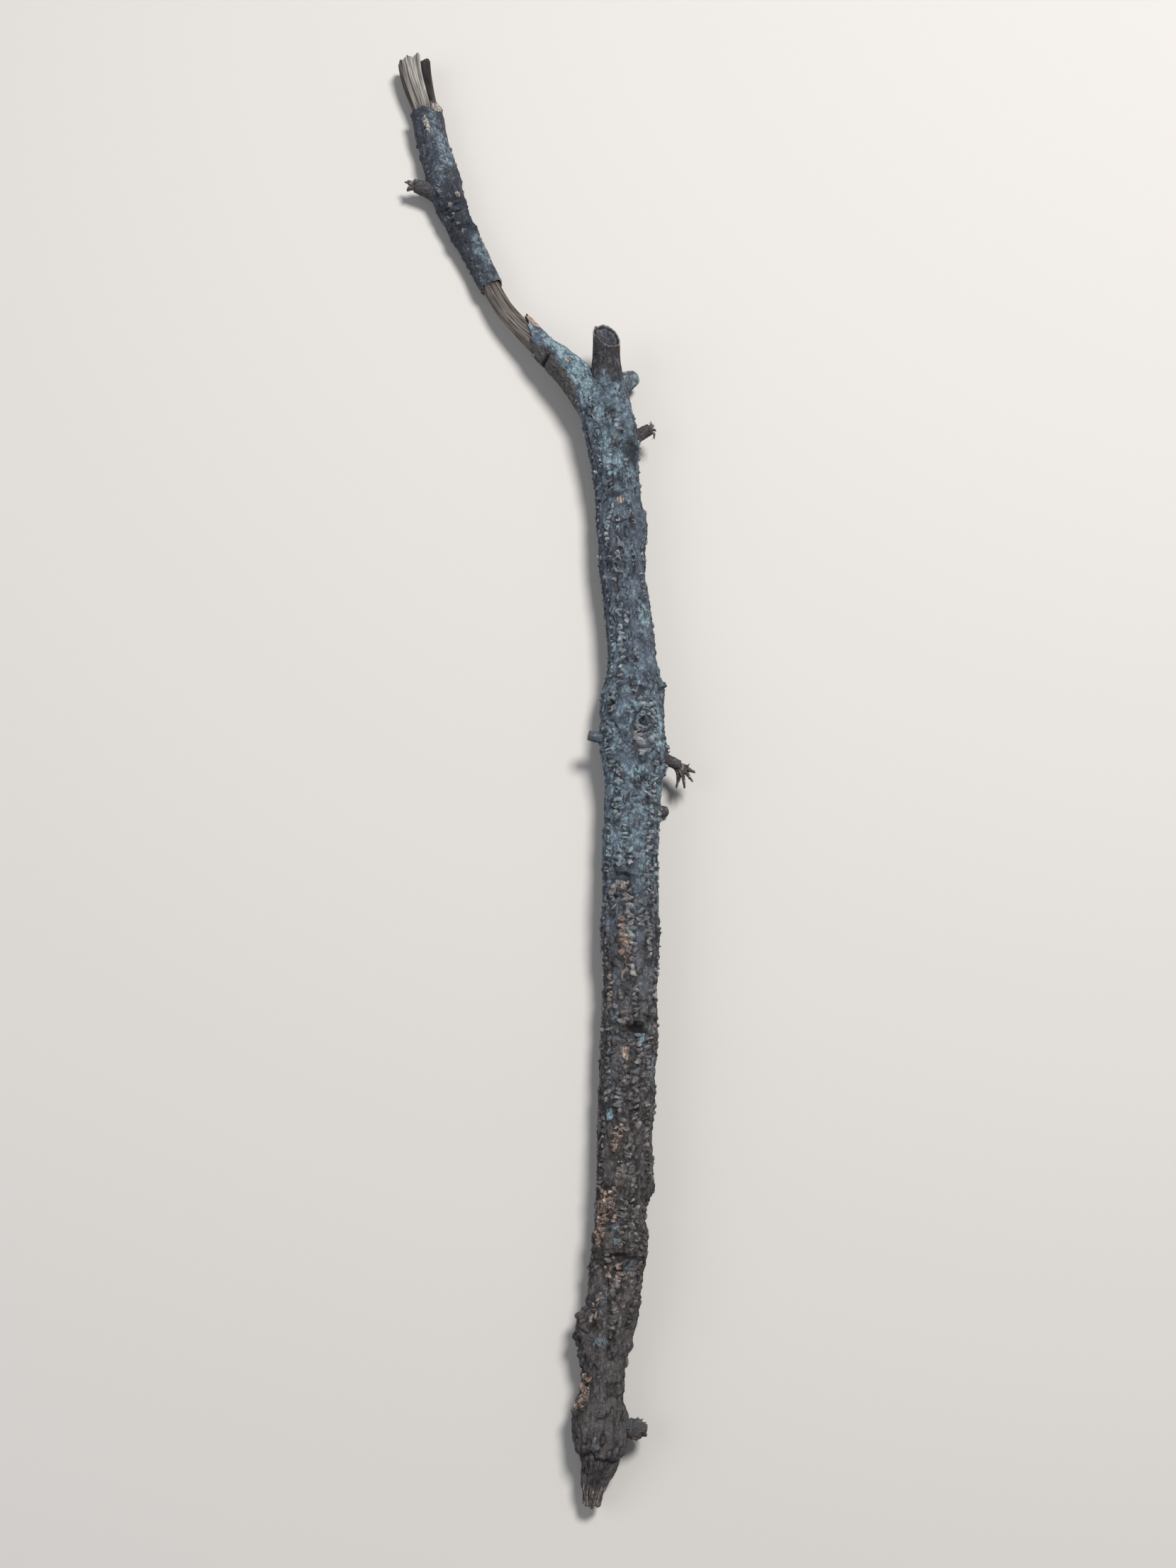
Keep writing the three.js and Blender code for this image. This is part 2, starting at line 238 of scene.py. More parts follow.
class Rings:
    """Rings of points along a rod with their values. Closing rings can be added at both ends."""

    def __init__(self, skin, **values):
        self.points = skin.points()
        self.straight = skin.straight()
        blank = np.zeros(skin.along.shape)
        self.values = {name: blank + values.get(name, 0.0) for name in VALUES}
        self.forward = (-skin.forward[0].mean(0), skin.forward[-1].mean(0))

    def close(self, far, steps, seed=0, **values):
        """Adds rings that close an end: (share of the end's size, push outwards, unevenness) for each."""
        edge = -1 if far else 0
        rim, straight_rim = self.points[edge], self.straight[edge]
        middle, straight_middle = rim.mean(0), straight_rim.mean(0)
        ahead = self.forward[1 if far else 0]
        for share, push, uneven in steps:
            ring = middle + (rim - middle) * share
            shift = push + uneven * noise_at(ring, 1.7, seed)
            ring = ring + ahead * shift[:, None]
            straight = straight_middle + (straight_rim - straight_middle) * share
            straight[:, 2] += shift if far else -shift
            self.join(far, ring, straight, values)

    def join(self, far, ring, straight, values):
        def joined(grid, row):
            return np.concatenate([grid, row[None]] if far else [row[None], grid])

        edge = -1 if far else 0
        self.points = joined(self.points, ring)
        self.straight = joined(self.straight, straight)
        for name, grid in self.values.items():
            self.values[name] = joined(grid, grid[edge] * 0 + values.get(name, grid[edge]))


def ring_faces(index):
    """The faces between rings of point numbers, and each ring's numbers moved one step round."""
    after = np.roll(index, -1, 1)
    quads = np.stack([index[:-1], after[:-1], after[1:], index[1:]], axis=-1).reshape(-1, 4)
    return quads, after


def add_object(name, data):
    made = bpy.data.objects.new(name, data)
    bpy.context.scene.collection.objects.link(made)
    return made


class Piece:
    """Points, faces and values that are gathered up and then made into one mesh object."""

    def __init__(self):
        self.points, self.straight, self.faces = [], [], []
        self.values = {name: [] for name in VALUES}
        self.count = 0

    def add(self, points, straight, faces, values):
        """Adds points with their values, and faces as arrays of point numbers, one for each face size."""
        self.points.append(points)
        self.straight.append(straight)
        for array in faces:
            self.faces.extend((array + self.count).tolist())
        for name in VALUES:
            self.values[name].append(values[name])
        self.count += len(points)

    def add_tube(self, rings, low=0, high=None):
        """The rings from low to high as a closed tube: each end is drawn together on its own middle."""
        points = rings.points[low:high]
        rows, columns = points.shape[:2]
        index = np.arange(rows * columns).reshape(rows, columns)
        quads, after = ring_faces(index)
        first, last = rows * columns, rows * columns + 1
        start = np.stack([np.full(columns, first), after[0], index[0]], axis=-1)
        end = np.stack([np.full(columns, last), index[-1], after[-1]], axis=-1)

        def with_middles(grid):
            grid = grid[low:high].reshape(rows, columns, -1)
            return np.vstack([grid.reshape(rows * columns, -1), grid[0].mean(0), grid[-1].mean(0)])

        values = {name: with_middles(grid)[:, 0] for name, grid in rings.values.items()}
        faces = [quads, np.vstack([start, end])]
        self.add(with_middles(rings.points), with_middles(rings.straight), faces, values)

    def make(self, name, material, slot, *nodes):
        """Makes the mesh object. Nothing of it is left below the ground."""
        mesh = bpy.data.meshes.new(name)
        places = (np.vstack(self.points) + ORIGIN) * MM
        places[:, 2] = np.maximum(places[:, 2], 0)
        mesh.from_pydata(places.tolist(), [], self.faces)
        mesh.attributes.new("straight", "FLOAT_VECTOR", "POINT")
        mesh.attributes["straight"].data.foreach_set("vector", np.vstack(self.straight).ravel())
        for value in VALUES:
            mesh.attributes.new(value, "FLOAT", "POINT")
            mesh.attributes[value].data.foreach_set("value", np.concatenate(self.values[value]))
        mesh.shade_smooth()
        mesh.set_sharp_from_angle(angle=SHARP_EDGE)
        mesh.materials.append(material)
        made = add_object(name, mesh)
        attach(made, BODY)
        if nodes:
            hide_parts(*nodes)


def make_tube(rings, name, material, slot, node, low=0, high=None):
    """The rings from low to high as a piece of their own."""
    piece = Piece()
    piece.add_tube(rings, low, high)
    piece.make(name, material, slot, node)


# How much brighter a surface is than it looks, because soft light reaches it only in part.
LIFT = 1.12


def seen(red, green, blue):
    """A colour as the eye sees it, 0 to 255, in the shader's linear numbers."""
    share = np.array([red, green, blue]) / 255
    linear = np.where(share <= 0.04045, share / 12.92, ((share + 0.055) / 1.055) ** 2.4)
    return (*(linear * LIFT), 1.0)


class Looks:
    """A material under construction, with short ways to add nodes to it.

    Sizes are in millimetres. A tone is (red, green, blue) as the eye sees it, or another node's colour.
    """

    def __init__(self, name, roughness, specular):
        self.material = bpy.data.materials.new(name)
        self.material.use_nodes = True
        self.tree = self.material.node_tree
        self.shader = self.tree.nodes["Principled BSDF"]
        self.shader.inputs["Roughness"].default_value = roughness
        self.shader.inputs["Specular IOR Level"].default_value = specular
        self.straight = self.add("ShaderNodeAttribute", {}, attribute_name="straight").outputs["Vector"]
        self.place = self.vector("MULTIPLY", self.add("ShaderNodeTexCoord", {}).outputs["Object"], 1 / MM)

    def add(self, kind, inputs, **settings):
        node = self.tree.nodes.new(kind)
        for name, value in settings.items():
            setattr(node, name, value)
        for name, value in inputs.items():
            if isinstance(value, bpy.types.NodeSocket):
                self.tree.links.new(value, node.inputs[name])
            else:
                node.inputs[name].default_value = value
        return node

    def value(self, name):
        return self.add("ShaderNodeAttribute", {}, attribute_name=name).outputs["Fac"]

    def math(self, operation, first, second):
        return self.add("ShaderNodeMath", {0: first, 1: second}, operation=operation).outputs[0]

    def vector(self, operation, first, second):
        """Two vectors taken together. The second may be numbers, or one number for all three axes."""
        if not isinstance(second, bpy.types.NodeSocket):
            second = tuple(np.ones(3) * second)
        return self.add("ShaderNodeVectorMath", {0: first, 1: second}, operation=operation).outputs[0]

    def total(self, *parts):
        """The sum of values, each given with its weight."""
        weighted = [self.math("MULTIPLY", value, weight) for value, weight in parts]
        found = weighted[0]
        for value in weighted[1:]:
            found = self.math("ADD", found, value)
        return found

    def between(self, value, low, high):
        """0 where the value is at low and 1 where it is at high, with a soft change between them."""
        inputs = {"Value": value, "From Min": low, "From Max": high}
        return self.add("ShaderNodeMapRange", inputs, interpolation_type="SMOOTHSTEP").outputs["Result"]

    def at(self, place, size):
        """What a texture needs to have features of that size at a place."""
        return {"Vector": self.vector("MULTIPLY", place, 1 / np.asarray(size)), "Scale": 1.0}

    def noise(self, place, size, detail, roughness, distortion=0.0):
        inputs = {"Detail": detail, "Roughness": roughness, "Distortion": distortion}
        return self.add("ShaderNodeTexNoise", self.at(place, size) | inputs).outputs["Fac"]

    def warped(self, place, size, amount):
        """Places shifted to and fro by up to about that amount, in swirls of that size."""
        swirl = self.add("ShaderNodeTexNoise", self.at(place, size) | {"Detail": 2.0}).outputs["Color"]
        shift = self.vector("SUBTRACT", swirl, 0.5)
        return self.vector("ADD", place, self.vector("MULTIPLY", shift, 2 * amount))

    def cells(self, place, size):
        """The distance from the edges of irregular cells of that size, as a share of it."""
        cells = self.add("ShaderNodeTexVoronoi", self.at(place, size), feature="DISTANCE_TO_EDGE")
        return cells.outputs["Distance"]

    def mix(self, share, first, second):
        """The first tone, turned to the second by that share."""
        first, second = (seen(*tone) if isinstance(tone, tuple) else tone for tone in (first, second))
        return self.add("ShaderNodeMix", {0: share, 6: first, 7: second}, data_type="RGBA").outputs[2]

    def tint(self, colour, tone, value, low, high, strength=1.0):
        """The colour, turned to a tone by up to that strength as the value goes from low to high."""
        return self.mix(self.math("MULTIPLY", self.between(value, low, high), strength), colour, tone)

    def finish(self, colour, height, depth):
        """Sets the colour and a fine relief of that depth."""
        bump = self.add("ShaderNodeBump", {"Height": height, "Strength": 0.8, "Distance": depth * MM})
        self.tree.links.new(bump.outputs["Normal"], self.shader.inputs["Normal"])
        self.tree.links.new(colour, self.shader.inputs["Base Color"])
        return self.material


def add_lichen(looks, colour, pale, deep):
    """Lichen crust over a colour: soft patches that break up into specks at their edges."""
    amount = looks.value("lichen")
    patches = looks.noise(looks.place, 7, 4, 0.62)
    specks = looks.noise(looks.place, 1.5, 3, 0.6)
    shade = looks.noise(looks.place, 3.5, 3, 0.6)
    flecks = looks.noise(looks.straight, (1.5, 1.5, 2.4), 2, 0.5, 0.6)
    tone = looks.mix(looks.between(shade, 0.35, 0.65), deep, pale)
    tone = looks.tint(tone, (186, 194, 193), flecks, 0.58, 0.68, 0.6)
    tone = looks.tint(tone, (46, 53, 60), flecks, 0.42, 0.3, 0.65)
    tone = looks.tint(tone, (152, 184, 195), amount, 0.95, 1.15)
    reach = looks.total((amount, 0.6), (patches, 0.55), (specks, 0.45))
    return looks.tint(colour, tone, reach, 0.7, 0.95)


def bark_looks(name, clean, stained, lichen_pale, lichen_deep, bared, flakes):
    """Dark bark skin, brown where it is stained, with lichen, painted shade in hollows and bared tan inner
    bark.

    Flakes is how strongly the bark breaks up into flakes in patches.
    """
    looks = Looks(name, roughness=0.85, specular=0.25)
    blotch = looks.noise(looks.place, 16, 4, 0.6)
    shade = looks.noise(looks.place, 7, 3, 0.5)
    streak = looks.noise(looks.straight, (1.6, 1.6, 7), 4, 0.6, 0.4)
    mottle = looks.noise(looks.straight, (2.6, 2.6, 4), 3, 0.6)
    speck = looks.noise(looks.place, 1.1, 2, 0.6)
    stain = looks.between(looks.total((looks.value("stain"), 1), (blotch, 1)), 0.7, 1.3)
    colour = looks.mix(stain, clean, stained)
    colour = looks.tint(colour, (46, 49, 57), shade, 0.5, 0.34, 0.45)
    colour = looks.tint(colour, (42, 42, 48), streak, 0.48, 0.28, 0.7)
    colour = looks.tint(colour, (118, 124, 134), mottle, 0.5, 0.72, 0.45)
    colour = looks.tint(colour, (150, 154, 160), speck, 0.5, 0.72, 0.16)
    # Pale cork on crests: partly the cork's own paler tone, partly a painted highlight.
    pale_cork = looks.mix(stain, (146, 143, 145), (146, 132, 124))
    colour = looks.tint(colour, pale_cork, mottle, 0.35, 0.65, looks.value("crest"))
    colour = add_lichen(looks, colour, lichen_pale, lichen_deep)

    flake = looks.cells(looks.warped(looks.straight, 4, 3.0), (2.6, 2.6, 3.8))
    patch = looks.total((looks.noise(looks.place, 8, 3, 0.6), 1), (looks.value("lichen"), 0.07))
    flaky = looks.math("MULTIPLY", looks.between(patch, 0.48, 0.66), flakes)
    # Painted shade in the grooves between flakes.
    colour = looks.tint(colour, (34, 34, 39), flake, 0.16, 0.02, looks.math("MULTIPLY", flaky, 0.75))
    flake_top = looks.math("MULTIPLY", flaky, looks.between(flake, 0.12, 0.42))
    flake_tone = looks.mix(stain, (138, 143, 152), (132, 124, 120))
    colour = looks.mix(looks.math("MULTIPLY", flake_top, 0.4), colour, flake_tone)
    slits = looks.noise(looks.straight, (0.9, 0.9, 3.4), 2, 0.5, 0.6)
    colour = looks.tint(colour, (28, 28, 33), slits, 0.38, 0.28, 0.65)

    grain = looks.noise(looks.straight, (1.2, 1.2, 2), 3, 0.6)
    tan = looks.mix(looks.between(grain, 0.35, 0.65), (96, 82, 74), bared)
    colour = looks.tint(colour, tan, looks.total((looks.value("bare"), 1), (grain, 1)), 0.75, 1.05)
    # Painted shade: the colour goes to near black in hollows, pits, grooves and under ledges.
    colour = looks.mix(looks.value("hollow"), colour, (20, 17, 17))
    fine = looks.noise(looks.straight, (1.0, 1.0, 1.5), 4, 0.7)
    beside_slits = looks.between(slits, 0.27, 0.4)
    height = looks.total((streak, 0.35), (fine, 1.2), (beside_slits, 0.5), (flake_top, 0.8))
    return looks.finish(colour, height, 0.8)


def pore_looks():
    """Corky pores: crumbly, pale on their crests partly as a painted highlight, with painted shade in slits
    and at their feet, tan where fresh.
    """
    looks = Looks("pore_cork", roughness=0.9, specular=0.2)
    crumbs = looks.noise(looks.place, 1.7, 4, 0.65)
    patch = looks.noise(looks.place, 9, 2, 0.5)
    share = looks.total((looks.value("crest"), 0.5), (crumbs, 0.9), (patch, 0.5))
    stain = looks.value("stain")
    tan = looks.between(looks.value("bare"), 0.2, 0.9)

    def toned(grey, brown, fresh):
        return looks.mix(tan, looks.mix(stain, grey, brown), fresh)

    dark = toned((48, 50, 57), (48, 44, 44), (64, 53, 48))
    middle = toned((112, 117, 125), (88, 83, 81), (124, 106, 96))
    pale = toned((174, 177, 181), (126, 120, 117), (190, 172, 160))
    # Painted shade where a pore sinks into the bark and in its dip, and a painted highlight on its crest,
    # mixed with crumbly random tone.
    colour = looks.tint(dark, middle, share, 0.61, 0.89)
    colour = looks.tint(colour, pale, share, 0.97, 1.27)
    colour = add_lichen(looks, colour, (138, 160, 171), (92, 110, 121))
    # Painted shade in slits.
    colour = looks.mix(looks.value("hollow"), colour, (34, 30, 31))
    return looks.finish(colour, looks.noise(looks.place, 0.9, 4, 0.65), 0.9)


def wood_looks():
    """Weathered bare wood: lengthwise fibres, pale on their crests partly as a painted highlight, with
    painted shade in the splits between them.
    """
    looks = Looks("bare_wood", roughness=0.8, specular=0.25)
    fibre = looks.noise(looks.straight, (0.55, 0.55, 16), 4, 0.6, 0.2)
    band = looks.noise(looks.straight, (2.4, 2.4, 45), 3, 0.6, 0.3)
    colour = looks.mix(looks.between(band, 0.35, 0.65), (66, 58, 54), (116, 109, 104))
    # Fibres paler where they stand up and darker between them: grain, partly painted highlight and painted
    # shade.
    colour = looks.tint(colour, (156, 150, 144), fibre, 0.52, 0.7)
    colour = looks.tint(colour, (44, 37, 36), fibre, 0.48, 0.36)
    colour = looks.mix(looks.math("MULTIPLY", looks.value("stain"), 0.8), colour, (62, 55, 54))
    pale = looks.mix(looks.between(fibre, 0.3, 0.65), (92, 88, 86), (178, 174, 168))
    # Pale wood at the tip, on fibre crests: partly its own tone, partly a painted highlight.
    colour = looks.mix(looks.value("crest"), colour, pale)
    # Painted shade in splits and gaps.
    colour = looks.mix(looks.value("hollow"), colour, (26, 22, 25))
    return looks.finish(colour, fibre, 0.8)


BARK = bark_looks(
    "stem_bark", clean=(77, 87, 101), stained=(78, 73, 72), lichen_pale=(132, 155, 166),
    lichen_deep=(76, 96, 108), bared=(186, 166, 153), flakes=1.0,
)
LIMB_BARK = bark_looks(
    "limb_bark", clean=(54, 60, 71), stained=(50, 47, 48), lichen_pale=(122, 138, 150),
    lichen_deep=(72, 84, 97), bared=(182, 174, 168), flakes=0.4,
)
TWIG_BARK = bark_looks(
    "twig_bark", clean=(72, 78, 88), stained=(68, 62, 60), lichen_pale=(150, 170, 182),
    lichen_deep=(100, 118, 130), bared=(168, 160, 153), flakes=0.5,
)
PORES = pore_looks()
WOOD = wood_looks()

# Runs of corky pores on the stem's upper side, from the fork to the foot: the y and turn of both ends,
# the half width, the kind of pores and how tan they are. Eyes are rims round a slit, bars are short and
# lie across the run, slabs are thicker bars, blocks are crumbly pebbles packed together, and warts are
# single bumps.
STEM_RUNS = [
    (243, -34, 194, -37, 1.3, "eyes", 0.0), (236, -64, 186, -66, 1.3, "warts", 0.0),
    (226, 14, 219, 20, 2.2, "bars", 0.1), (215, 3, 211, 3, 1.5, "blocks", 0.9),
    (200, 28, 186, 33, 1.7, "bars", 0.0), (197, -16, 180, -22, 2.0, "bars", 0.0),
    (192, 6, 180, 16, 1.5, "eyes", 0.0), (172, -18, 160, -34, 1.6, "bars", 0.0),
    (160, -36, 148, -39, 2.2, "slabs", 0.1), (147, -40, 136, -38, 1.7, "eyes", 0.1),
    (172, 22, 157, 26, 1.5, "eyes", 0.0), (162, -10, 141, -10, 1.8, "eyes", 0.0),
    (140, -18, 124, -22, 2.4, "eyes", 0.0), (124, -30, 116, -26, 1.2, "bars", 0.0),
    (146, 24, 130, 22, 1.3, "eyes", 0.0), (150, 64, 138, 68, 1.6, "bars", 0.0),
    (128, 48, 112, 55, 1.8, "bars", 0.0), (180, -70, 120, -64, 1.4, "warts", 0.0),
    (120, -56, 104, -52, 1.4, "bars", 0.0), (112, -22, 102, -22, 2.2, "eyes", 0.0),
    (101, -8, 94, -8, 1.9, "slabs", 0.1), (93, -24, 72, -18, 2.7, "slabs", 0.15),
    (72, -26, 55, -28, 2.0, "bars", 0.1), (100, -52, 62, -54, 1.4, "bars", 0.1),
    (78, 8, 72, 12, 1.6, "bars", 0.0), (60, 0, 50, 4, 1.8, "eyes", 0.0),
    (50, -46, 40, -44, 2.4, "eyes", 0.0), (48, 14, 36, 20, 3.2, "blocks", 0.05),
    (46, 40, 20, 42, 2.8, "blocks", 0.05), (29, 0, 11, 18, 2.6, "slabs", 0.45),
    (26, 28, 20, 30, 2.2, "blocks", 0.0), (34, -56, 6, -52, 2.4, "bars", 0.0),
    (16, 50, -14, 48, 2.0, "bars", 0.1), (8, -34, -14, -36, 2.2, "blocks", 0.1),
    (4, 6, -5, 8, 1.7, "eyes", 0.0), (-5, 30, -14, 31, 1.8, "eyes", 0.1),
    (-14, -38, -26, -36, 3.0, "slabs", 0.15), (-30, -15, -43, -9, 2.0, "bars", 0.1),
    (-18, 42, -36, 42, 2.5, "bars", 0.05), (-36, 38, -74, 44, 2.9, "blocks", 0.0),
    (-44, -6, -54, -2, 2.0, "slabs", 0.1), (-46, -26, -54, -28, 2.0, "slabs", 0.1),
    (-24, -58, -58, -58, 1.8, "bars", 0.1), (-20, 66, -60, 66, 1.6, "warts", 0.1),
    (-63, -34, -69, -32, 2.6, "slabs", 0.55), (-64, -9, -84, -6, 3.0, "slabs", 0.55),
    (-70, -42, -82, -38, 1.8, "bars", 0.1), (-75, 22, -90, 22, 2.0, "bars", 0.0),
    (-82, 38, -108, 40, 2.6, "bars", 0.05), (-84, 0, -106, 1, 2.3, "slabs", 0.45),
    (-86, -17, -106, -16, 2.9, "slabs", 1.0), (-106, 0, -120, 5, 2.2, "slabs", 0.4),
    (-118, -15, -126, -10, 2.2, "eyes", 0.6), (-118, -50, -142, -54, 2.6, "slabs", 0.55),
    (-124, 10, -142, 13, 1.9, "bars", 0.1), (-70, 62, -140, 64, 1.8, "warts", 0.1),
    (-64, -64, -116, -62, 1.6, "warts", 0.2), (-140, -14, -149, -12, 2.6, "slabs", 0.5),
    (-152, 8, -159, 8, 3.4, "bars", 0.45), (-146, -46, -180, -46, 3.0, "bars", 0.1),
    (-158, 22, -182, 16, 2.4, "slabs", 0.1), (-150, 48, -186, 44, 2.2, "bars", 0.05),
    (-180, -48, -192, -44, 2.4, "slabs", 0.35), (-184, -20, -202, -14, 2.2, "slabs", 0.25),
    (-184, 14, -204, 20, 2.8, "blocks", 0.1), (-190, 50, -230, 54, 2.6, "blocks", 0.35),
    (-203, -12, -210, -12, 3.4, "blocks", 1.0), (-210, -27, -220, -27, 1.9, "eyes", 1.0),
    (-210, 8, -224, 4, 2.2, "slabs", 0.2), (-222, -6, -236, -4, 3.0, "blocks", 0.45),
    (-226, 22, -240, 24, 2.6, "blocks", 0.2), (-200, -62, -240, -60, 2.0, "bars", 0.3),
    (-238, -52, -272, -48, 4.0, "blocks", 0.9), (-238, -24, -258, -24, 2.8, "blocks", 0.7),
    (-244, 4, -270, 0, 3.0, "blocks", 0.15), (-244, 26, -272, 30, 3.4, "blocks", 0.1),
    (-262, 50, -274, 52, 3.2, "blocks", 0.0), (-276, -18, -286, -16, 3.0, "slabs", 0.6),
    (-278, 3, -292, 4, 2.6, "slabs", 0.6), (-290, -2, -304, 2, 2.2, "slabs", 0.3),
    (-298, -38, -312, -36, 3.0, "slabs", 0.55), (-304, 8, -320, 10, 2.4, "slabs", 0.15),
    (-278, 52, -310, 46, 1.8, "bars", 0.2), (-340, -52, -358, -60, 4.0, "blocks", 0.9),
]

COLLAR_RUNS = [
    (279, -20, 268, -26, 1.4, "bars", 0.0), (262, 8, 252, 2, 1.4, "eyes", 0.0),
    (272, 30, 262, 24, 1.2, "eyes", 0.0), (262, -70, 246, -62, 1.6, "bars", 0.2),
    (254, 30, 244, 26, 1.3, "bars", 0.0), (250, -40, 240, -36, 1.5, "bars", 0.0),
    (286, 60, 276, 54, 1.2, "warts", 0.3), (284, 20, 264, 50, 1.3, "warts", 0.2),
    (276, -8, 258, -20, 1.2, "warts", 0.1),
]
SLEEVE_RUNS = [
    (448, -14, 428, -10, 1.0, "eyes", 0.1), (424, 4, 404, 12, 1.2, "warts", 0.0),
    (402, -30, 390, -26, 1.6, "blocks", 0.1), (404, 30, 392, 36, 1.4, "eyes", 0.0),
    (384, -10, 362, -6, 1.6, "warts", 0.0), (358, 30, 334, 34, 1.3, "warts", 0.0),
    (352, -30, 334, -34, 1.2, "warts", 0.1), (430, -50, 404, -54, 1.2, "warts", 0.0),
]

# Knots: y, turn, half length, half width, depth, lip and ring wrinkles.
STEM_KNOTS = [
    (-147.5, 18, 3.4, 6.6, 2.4, 1.5, 0.9), (-61, -20, 4.6, 8.5, 1.6, 1.0, 0.8),
    (-275.5, 3, 2.8, 8, 1.4, 0.9, 0.6), (32, 17, 2.8, 3.3, 1.8, 1.4, 0.9),
    (-314, -84, 5.0, 5.5, 1.2, 2.4, 0.9), (60, 86, 2.2, 2.6, -2.2, 0.6, 0.4),
    (26, -62, 4.0, 4.4, 0.0, 0.9, 1.0), (14, 78, 5.0, 5.0, 0.0, 1.0, 0.8),
    (219, 72, 4.6, 4.6, 0.0, 1.2, 0.7), (45, -45, 2.6, 3.0, 1.8, 0.9, 0.6),
    (53, 14, 2.2, 4.6, 1.7, 0.7, 0.4), (-391, 4, 7.0, 6.0, 1.1, 0.4, 0.1),
    (-345, 30, 4.0, 5.0, 0.7, 0.6, 0.3),
]
SLEEVE_KNOTS = [
    (386, 10, 2.4, 6.5, 1.5, 0.9, 0.5), (378, -35, 2.2, 5, 1.3, 0.8, 0.4),
    (366, 5, 2.0, 7, 1.2, 0.8, 0.4),
]

# Edges of bark layers on the stem: y, side of the layer, height, length, turn and half turn in degrees.
STEM_LEDGES = [
    (-277, 1, 1.2, 26, 30, 100), (-240, 1, 1.3, 16, 75, 45), (-333, 1, 1.3, 22, -70, 70),
    (-358, -1, 0.5, 30, -60, 60), (-380, 1, 1.7, 34, 0, 175), (-20, 1, 0.6, 14, -50, 40),
    (92, -1, 0.6, 12, 40, 40),
]

# Soft spots of lichen, bared inner bark and painted shade: y, turn, half length, half width and strength.
STEM_LICHEN = [
    (222, -25, 20, 11, 0.62), (200, -2, 13, 10, 0.6), (250, -45, 14, 14, 0.7), (2, 10, 6, 8, 0.75),
    (-152, 22, 5, 5, 0.6), (-321, -8, 4, 8, 0.5), (-258, -12, 4, 3, 0.5), (-267, -8, 4, 3, 0.5),
    (-279, 25, 8, 5, 0.4), (-299, -20, 12, 5, 0.4), (102, 50, 8, 7, 0.95), (-196.5, -38, 4.2, 2.6, 1.5),
    (-77, -90, 4, 3, 1.2),
]
STEM_BARE = [(175, 2, 2.3, 2.3, 1.0), (-161, -6, 4.4, 2.2, 1.0), (-406, 0, 4, 14, 0.3)]
STEM_TAN = [
    (-99, -10, 14, 4.5, 1.0), (-211, -21, 6, 4, 0.9), (-251, -58, 16, 6, 0.9), (-349, -72, 13, 8, 0.9),
    (-130, -60, 12, 5, 0.6), (-60, 40, 14, 5, 0.5), (-290, 30, 16, 6, 0.5),
]
# Dark spots of painted shade.
STEM_SHADE = [
    (207, 45, 10, 7, 0.75), (234, 5, 3, 5, 0.6), (256, 20, 5, 12, 0.6), (57, 88, 3, 4, 0.7),
    (179, -12, 3, 5, 0.7), (53, 16, 2.5, 5, 0.6), (-13, -32, 1.6, 3, 0.7), (-274, 5, 3, 6, 0.7),
    (75, 8, 2, 2.5, 0.5), (228, 2, 14, 10, 0.22),
]
SLEEVE_LICHEN = [
    (420, 40, 18, 9, 0.6), (350, 38, 14, 8, 0.68), (329, 60, 5, 5, 0.8), (440, 14, 12, 8, 0.5),
    (404, -10, 9, 8, 0.42), (332, 0, 8, 9, 0.45),
]
# Dark spots of painted shade at the sleeve's knots.
SLEEVE_SHADE = [(386, 5, 15, 14, 0.32), (362, 0, 14, 12, 0.3)]
SLEEVE_BARE = [(389, 37, 2.6, 2, 1.0), (439, -10, 7, 1.6, 0.75), (451, 50, 3, 5, 1.0)]
COLLAR_BARE = [(296, 50, 6, 3.5, 1.0), (268, 10, 1.6, 1.2, 0.8), (255, 45, 1.4, 1.2, 0.7)]
COLLAR_LICHEN = [(262, 20, 16, 14, 0.95), (276, 45, 12, 9, 0.9), (244, 0, 12, 12, 0.9)]


def knot_relief(skin, knots):
    """Pits with a raised lip and ring wrinkles round them, and painted shade that is darker the deeper the
    pit.
    """
    height = np.zeros(skin.along.shape)
    hollow = np.zeros(skin.along.shape)
    uneven = 0.3 * skin.lumps(3.2, 9)
    for *place, depth, lip, wrinkle in knots:
        away = skin.away(*place) + uneven
        height -= depth * ramp(away, 1.05, 0.45)
        height += lip * bell(away, 1.3, 0.32)
        height += wrinkle * np.cos(6.5 * away) * bell(away, 2.1, 0.8)
        hollow = np.maximum(hollow, ramp(away, 1.0, 0.6) * min(1, depth / 2.5))
    return height, hollow


def bark_relief(skin, swell, ridge, rough):
    """The bark's uneven swell, its lengthwise ridges and its fine roughness, as one height."""
    height = swell * skin.lumps(20)
    height += ridge * skin.grain(4.4, 26, 1)
    return height + rough * (skin.grain(2, 4, 2) + 0.6 * skin.grain(1.6, 1.6, 3))


def pebbles(skin, sizes, seed):
    """Corky pebbles with grooves between them: 1 on a pebble and 0 in a groove."""
    places = (skin.straight() / np.asarray(sizes) + seed).reshape(-1, 3).tolist()
    nearest = (noise.voronoi(place)[0] for place in places)
    gaps = np.array([second - first for first, second, *_ in nearest]).reshape(skin.along.shape)
    return ramp(gaps, 0.03, 0.42)


def on_circle(turn):
    """Points on a circle, where noise joins up all the way round."""
    return np.stack([np.cos(turn), np.sin(turn), 0 * turn], axis=-1)


def ragged(columns, depth, teeth, seed):
    """A length lost at each column of a torn edge, from 0 to about that depth."""
    ring = on_circle(turns(columns)) * teeth
    tooth = 0.5 + 0.5 * noise_at(ring, 1.0, seed) + 0.25 * noise_at(ring, 0.4, seed + 1)
    return depth * np.clip(tooth, 0, 1)


def slant(columns, depth, long_turn):
    """A length lost at each column of a slanted break: none at the long side, the whole depth opposite."""
    return depth * (1 - np.cos(turns(columns) - math.radians(long_turn))) / 2


